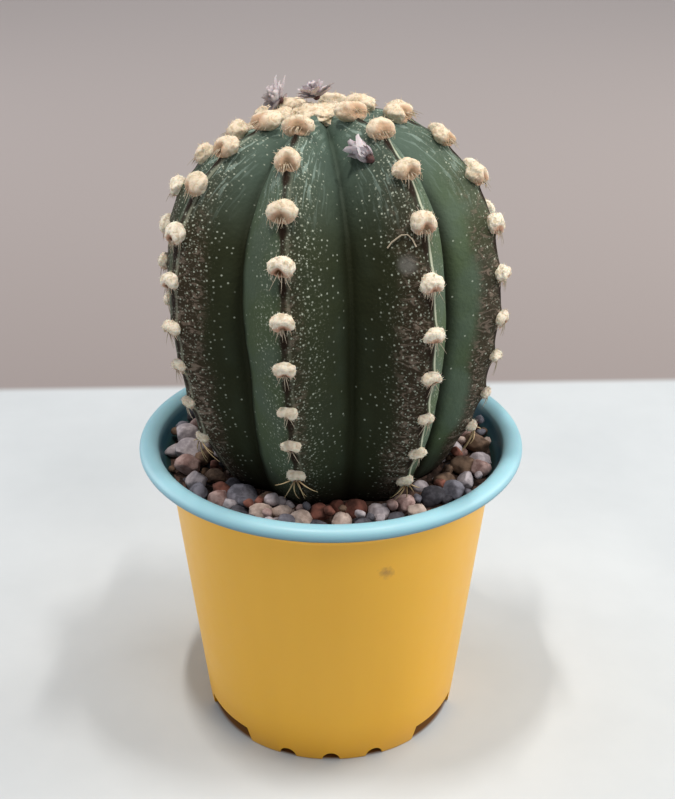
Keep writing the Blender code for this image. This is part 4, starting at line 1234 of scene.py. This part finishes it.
# Pebbles. A loose dressing of river stones, two to nine millimetres across, tipped
# round the stem on finer grit; the larger ones at the front are placed as they lie. Each
# kind has its light and deep tone and its share of the stones that fill the gaps.
STONE_KINDS = {
    "lilac": ("c2b8bb", "958c90", 0.22),
    "grey": ("82808a", "56545c", 0.16),
    "slate": ("57555c", "343238", 0.14),
    "pink": ("b89c96", "876a64", 0.18),
    "brick": ("8e5a4c", "5c3a30", 0.08),
    "brown": ("7a6250", "4b3a2f", 0.14),
    "cream": ("cdb8ac", "a08b80", 0.08),
}
STONE_CLOUD = 3.03 * MM
STONE_PIT = 0.625 * MM
FIT_TRIES = 12
FIT_STEP = 1.5 * MM
FIT_SQUEEZE = 0.8
FIT_SHRINK = 0.93
FILL_TRIES = 2600
FILL_HALF_SIZE = 3.5 * MM
FILL_SHRINKS_BY = 2.2 * MM
FILL_VARIETY = (0.88, 1.12)
FILL_RINGS = (0.34, 0.95)
FILL_DEPTHS = (1.6, 6.5)
FILL_OVERLAP = 0.86
WALL_GAP = 0.2 * MM
FINE_STONE = 1.6 * MM
WORN_SIDES = 9
WORN_DEPTHS = (0.58, 0.88)
WORN_AWAY = 0.85
STONE_LUMP_SIZE = 0.7
STONE_LUMP_HEIGHT = 0.07
STONE_STRETCH = ((1.08, 0.94, 0.8), (1.24, 1.12, 0.98))
STONE_TILT = 0.35

# Stones in front: angle from the front in degrees, then distance from the axis, width
# and depth of the top below the rim in millimetres, and kind.
PLACED_STONES = (
    (-42, 36.0, 9.2, 2.6, "grey"), (-95, 42.5, 7.6, 0.4, "lilac"), (-83, 41.2, 7.0, 0.8, "lilac"),
    (-72, 42.0, 6.8, 1.4, "pink"), (-61, 42.3, 6.5, 2.4, "lilac"), (-61, 36.8, 5.5, 3.0, "brown"),
    (-51, 38.8, 5.5, 3.6, "brick"), (-46, 42.3, 6.0, 3.2, "pink"), (-27, 41.2, 6.8, 3.2, "cream"),
    (-31, 33.5, 5.0, 4.4, "brown"), (-20, 37.4, 5.6, 3.9, "cream"), (-11, 40.4, 6.0, 3.4, "cream"),
    (-5, 35.9, 6.2, 3.8, "brick"), (3, 31.6, 5.0, 5.2, "brick"), (11, 34.4, 6.8, 3.6, "brick"),
    (4, 41.0, 5.8, 3.4, "cream"), (19, 38.2, 6.2, 3.6, "lilac"), (32, 37.0, 6.2, 3.4, "pink"),
    (32, 43.0, 5.6, 3.2, "cream"), (24, 43.0, 5.0, 3.6, "slate"), (45, 39.0, 6.8, 3.0, "slate"),
    (53, 42.0, 6.2, 2.8, "grey"), (61, 42.6, 5.4, 2.6, "lilac"), (72, 39.2, 7.0, 2.2, "brown"),
    (90, 42.2, 7.4, 1.4, "brown"), (72, 44.0, 5.4, 2.4, "pink"), (-16, 43.2, 5.0, 3.6, "grey"),
    (-106, 41.0, 6.4, 1.2, "pink"), (-52, 33.6, 5.6, 4.2, "slate"), (60, 36.4, 5.6, 3.6, "brown"),
)


def stone_finish(name, light_tone, deep_tone):
    """Dry river stone: matt, in two close tones, with fine pits."""
    material, shader = new_finish("river stone, dry " + name,
                                  {"Roughness": 0.8, "Specular IOR Level": 0.3})
    place = add_node(material, "TexCoord").outputs["Object"]
    cloud = add_node(material, "TexNoise", {"Vector": place, "Scale": 1 / STONE_CLOUD,
                                            "Detail": 5.0, "Roughness": 0.6})
    pits = add_node(material, "TexNoise", {"Vector": place, "Scale": 1 / STONE_PIT,
                                           "Detail": 3.0})
    bump = add_node(material, "Bump", {"Height": pits, "Strength": 0.5, "Distance": 0.25 * MM})
    colour = lay_tones(material, deep_tone, (light_tone, (cloud, 0.36, 0.62)))
    connect(material, shader, {"Base Color": colour, "Normal": bump})
    return material


def stone_shape(subdivisions, draw):
    """A river stone of unit radius: a ball worn flat on a few sides."""
    units, faces = ball(subdivisions)
    points = units.copy()
    for _ in range(WORN_SIDES):
        facing = draw.normal(0, 1, 3)
        facing /= np.linalg.norm(facing)
        over = np.clip(points @ facing - draw.uniform(*WORN_DEPTHS), 0, None)
        points -= over[:, None] * facing * WORN_AWAY
    lumps = fractal(units, STONE_LUMP_SIZE, draw.uniform(0, 50))
    points *= (1 + STONE_LUMP_HEIGHT * lumps)[:, None]
    points *= draw.uniform(*STONE_STRETCH)
    turned = np.array(Matrix.Rotation(draw.uniform(0, 6.3), 3, "Z")
                      @ Matrix.Rotation(draw.normal(0, STONE_TILT), 3, "X"))
    return points @ turned.T, faces


def inner_radius(height):
    """Inner radius of the pot at a height near its rim."""
    shoulder = rim_height - SHOULDER_DEPTH
    if height < shoulder:
        return wall_radius(height) - SHEET
    rise = min(1.0, (height - shoulder) / (SHOULDER_DEPTH - COLLAR_DEPTH))
    return (WALL_TOP_RADIUS - SHEET) * (1 - rise) + COLLAR_RADIUS * rise


def fit_stone(place, half):
    """Move a stone clear of the stem and the wall; returns its place and half size."""
    for _ in range(FIT_TRIES):
        near, normal = stem_tree.find_nearest(place)[:2]
        gap = (place - near).length * (1 if (place - near).dot(normal) > 0 else -1)
        if gap < half:
            out = Vector((place.x, place.y, 0)).normalized()
            place = place + out * min(half - gap, FIT_STEP)
        limit = inner_radius(place.z) - half - WALL_GAP
        reach = math.hypot(place.x, place.y)
        if reach > limit:
            place = Vector((place.x * limit / reach, place.y * limit / reach, place.z))
            if gap < half * FIT_SQUEEZE:
                half *= FIT_SHRINK
    return place, half


stem_tree = BVHTree.FromPolygons([tuple(corner.co) for corner in stem_piece.data.vertices],
                                 [tuple(face.vertices) for face in stem_piece.data.polygons])
stone_draw = np.random.default_rng(21)
kind_names = list(STONE_KINDS)
kind_shares = [share for _, _, share in STONE_KINDS.values()]
stones = []
for angle_degrees, reach, size, top_depth, kind in PLACED_STONES:
    angle = math.radians(angle_degrees)
    middle = Vector((reach * MM * math.sin(angle), -reach * MM * math.cos(angle),
                     rim_height - top_depth * MM - 0.4 * size * MM))
    middle, half = fit_stone(middle, size * MM / 2)
    stones.append((middle, half, kind_names.index(kind), 4))
for attempt in range(FILL_TRIES):
    worked = (attempt / FILL_TRIES) ** 0.8
    half = (FILL_HALF_SIZE - FILL_SHRINKS_BY * worked) * stone_draw.uniform(*FILL_VARIETY)
    angle = stone_draw.uniform(0, 2 * math.pi)
    reach = math.sqrt(stone_draw.uniform(*FILL_RINGS)) * MOUTH_RADIUS
    depth = stone_draw.uniform(*FILL_DEPTHS) * MM + half
    middle = Vector((reach * math.sin(angle), -reach * math.cos(angle), rim_height - depth))
    near, normal = stem_tree.find_nearest(middle)[:2]
    if (middle - near).dot(normal) < 0 or (middle - near).length < half:
        continue
    if reach > inner_radius(middle.z) - half - WALL_GAP:
        continue
    if any((middle - other).length < FILL_OVERLAP * (half + wide) for other, wide, _, _ in stones):
        continue
    stones.append((middle, half, int(stone_draw.choice(len(kind_names), p=kind_shares)),
                   3 if half > FINE_STONE else 2))

stone_parts = []
for middle, half, kind, subdivisions in stones:
    points, stone_faces = stone_shape(subdivisions, stone_draw)
    stone_parts.append((points * half + np.array(middle), stone_faces, np.array((0.0, 0.0)), kind))
pebble_piece = add_piece("pebbles", joined_mesh("pebbles", stone_parts), "pebbles",
                         *(stone_finish(name, light_tone, deep_tone)
                           for name, (light_tone, deep_tone, _) in STONE_KINDS.items()))
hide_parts("gravel")


# Grit. A thin layer of fine stone crumbs that closes the gaps between the pebbles, from
# the stem to the wall of the pot.
GRIT_DEPTH = 7.0 * MM
GRIT_COLUMNS = 160
GRIT_RINGS = 9
GRIT_GAP = 0.3 * MM
GRIT_HEAP = 1.3 * MM
GRIT_HEAPS_PER_METRE = 220
GRIT_CRUMB = 1.92 * MM


def grit_finish():
    """Fine grit: crumbs of two millimetres in dark and rusty tones."""
    material, shader = new_finish("stone grit, dark and rusty",
                                  {"Roughness": 0.9, "Specular IOR Level": 0.2})
    place = add_node(material, "TexCoord").outputs["Object"]
    crumbs = add_node(material, "TexVoronoi", {"Vector": place, "Scale": 1 / GRIT_CRUMB})
    tone = add_node(material, "SeparateColor", (crumbs.outputs["Color"],))
    colour = lay_tones(material, "2b2320", ("6b5348", tone))
    bump = add_node(material, "Bump", {"Height": crumbs, "Strength": 1.0, "Distance": -1.2 * MM})
    connect(material, shader, {"Base Color": colour, "Normal": bump})
    return material


grit_level = rim_height - GRIT_DEPTH
wall = inner_radius(grit_level) - GRIT_GAP
grit_verts = []
for column in range(GRIT_COLUMNS):
    angle = 2 * math.pi * column / GRIT_COLUMNS
    out = Vector((math.sin(angle), -math.cos(angle), 0))
    hit = stem_tree.ray_cast(out * wall + Vector((0, 0, grit_level)), -out)[0]
    inner = math.hypot(hit.x, hit.y) + GRIT_GAP
    for ring in range(GRIT_RINGS):
        share = ring / (GRIT_RINGS - 1)
        point = out * (inner + (wall - inner) * share) + Vector((0, 0, grit_level))
        edge_calm = math.sin(math.pi * min(1.0, share + 0.02))
        point.z += GRIT_HEAP * noise.noise(point * GRIT_HEAPS_PER_METRE) * edge_calm
        grit_verts.append(point[:])
index = np.arange(GRIT_COLUMNS * GRIT_RINGS).reshape(GRIT_COLUMNS, GRIT_RINGS)
beside = np.roll(index, -1, axis=0)
grit_faces = np.stack((index[:, :-1], index[:, 1:], beside[:, 1:], beside[:, :-1]), -1)
grit_piece = add_piece("grit", joined_mesh("grit", [(np.array(grit_verts),
                                                     grit_faces.reshape(-1, 4),
                                                     np.array((0.0, 0.0)), 0)]),
                       "pebbles", grit_finish())
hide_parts("gravel")
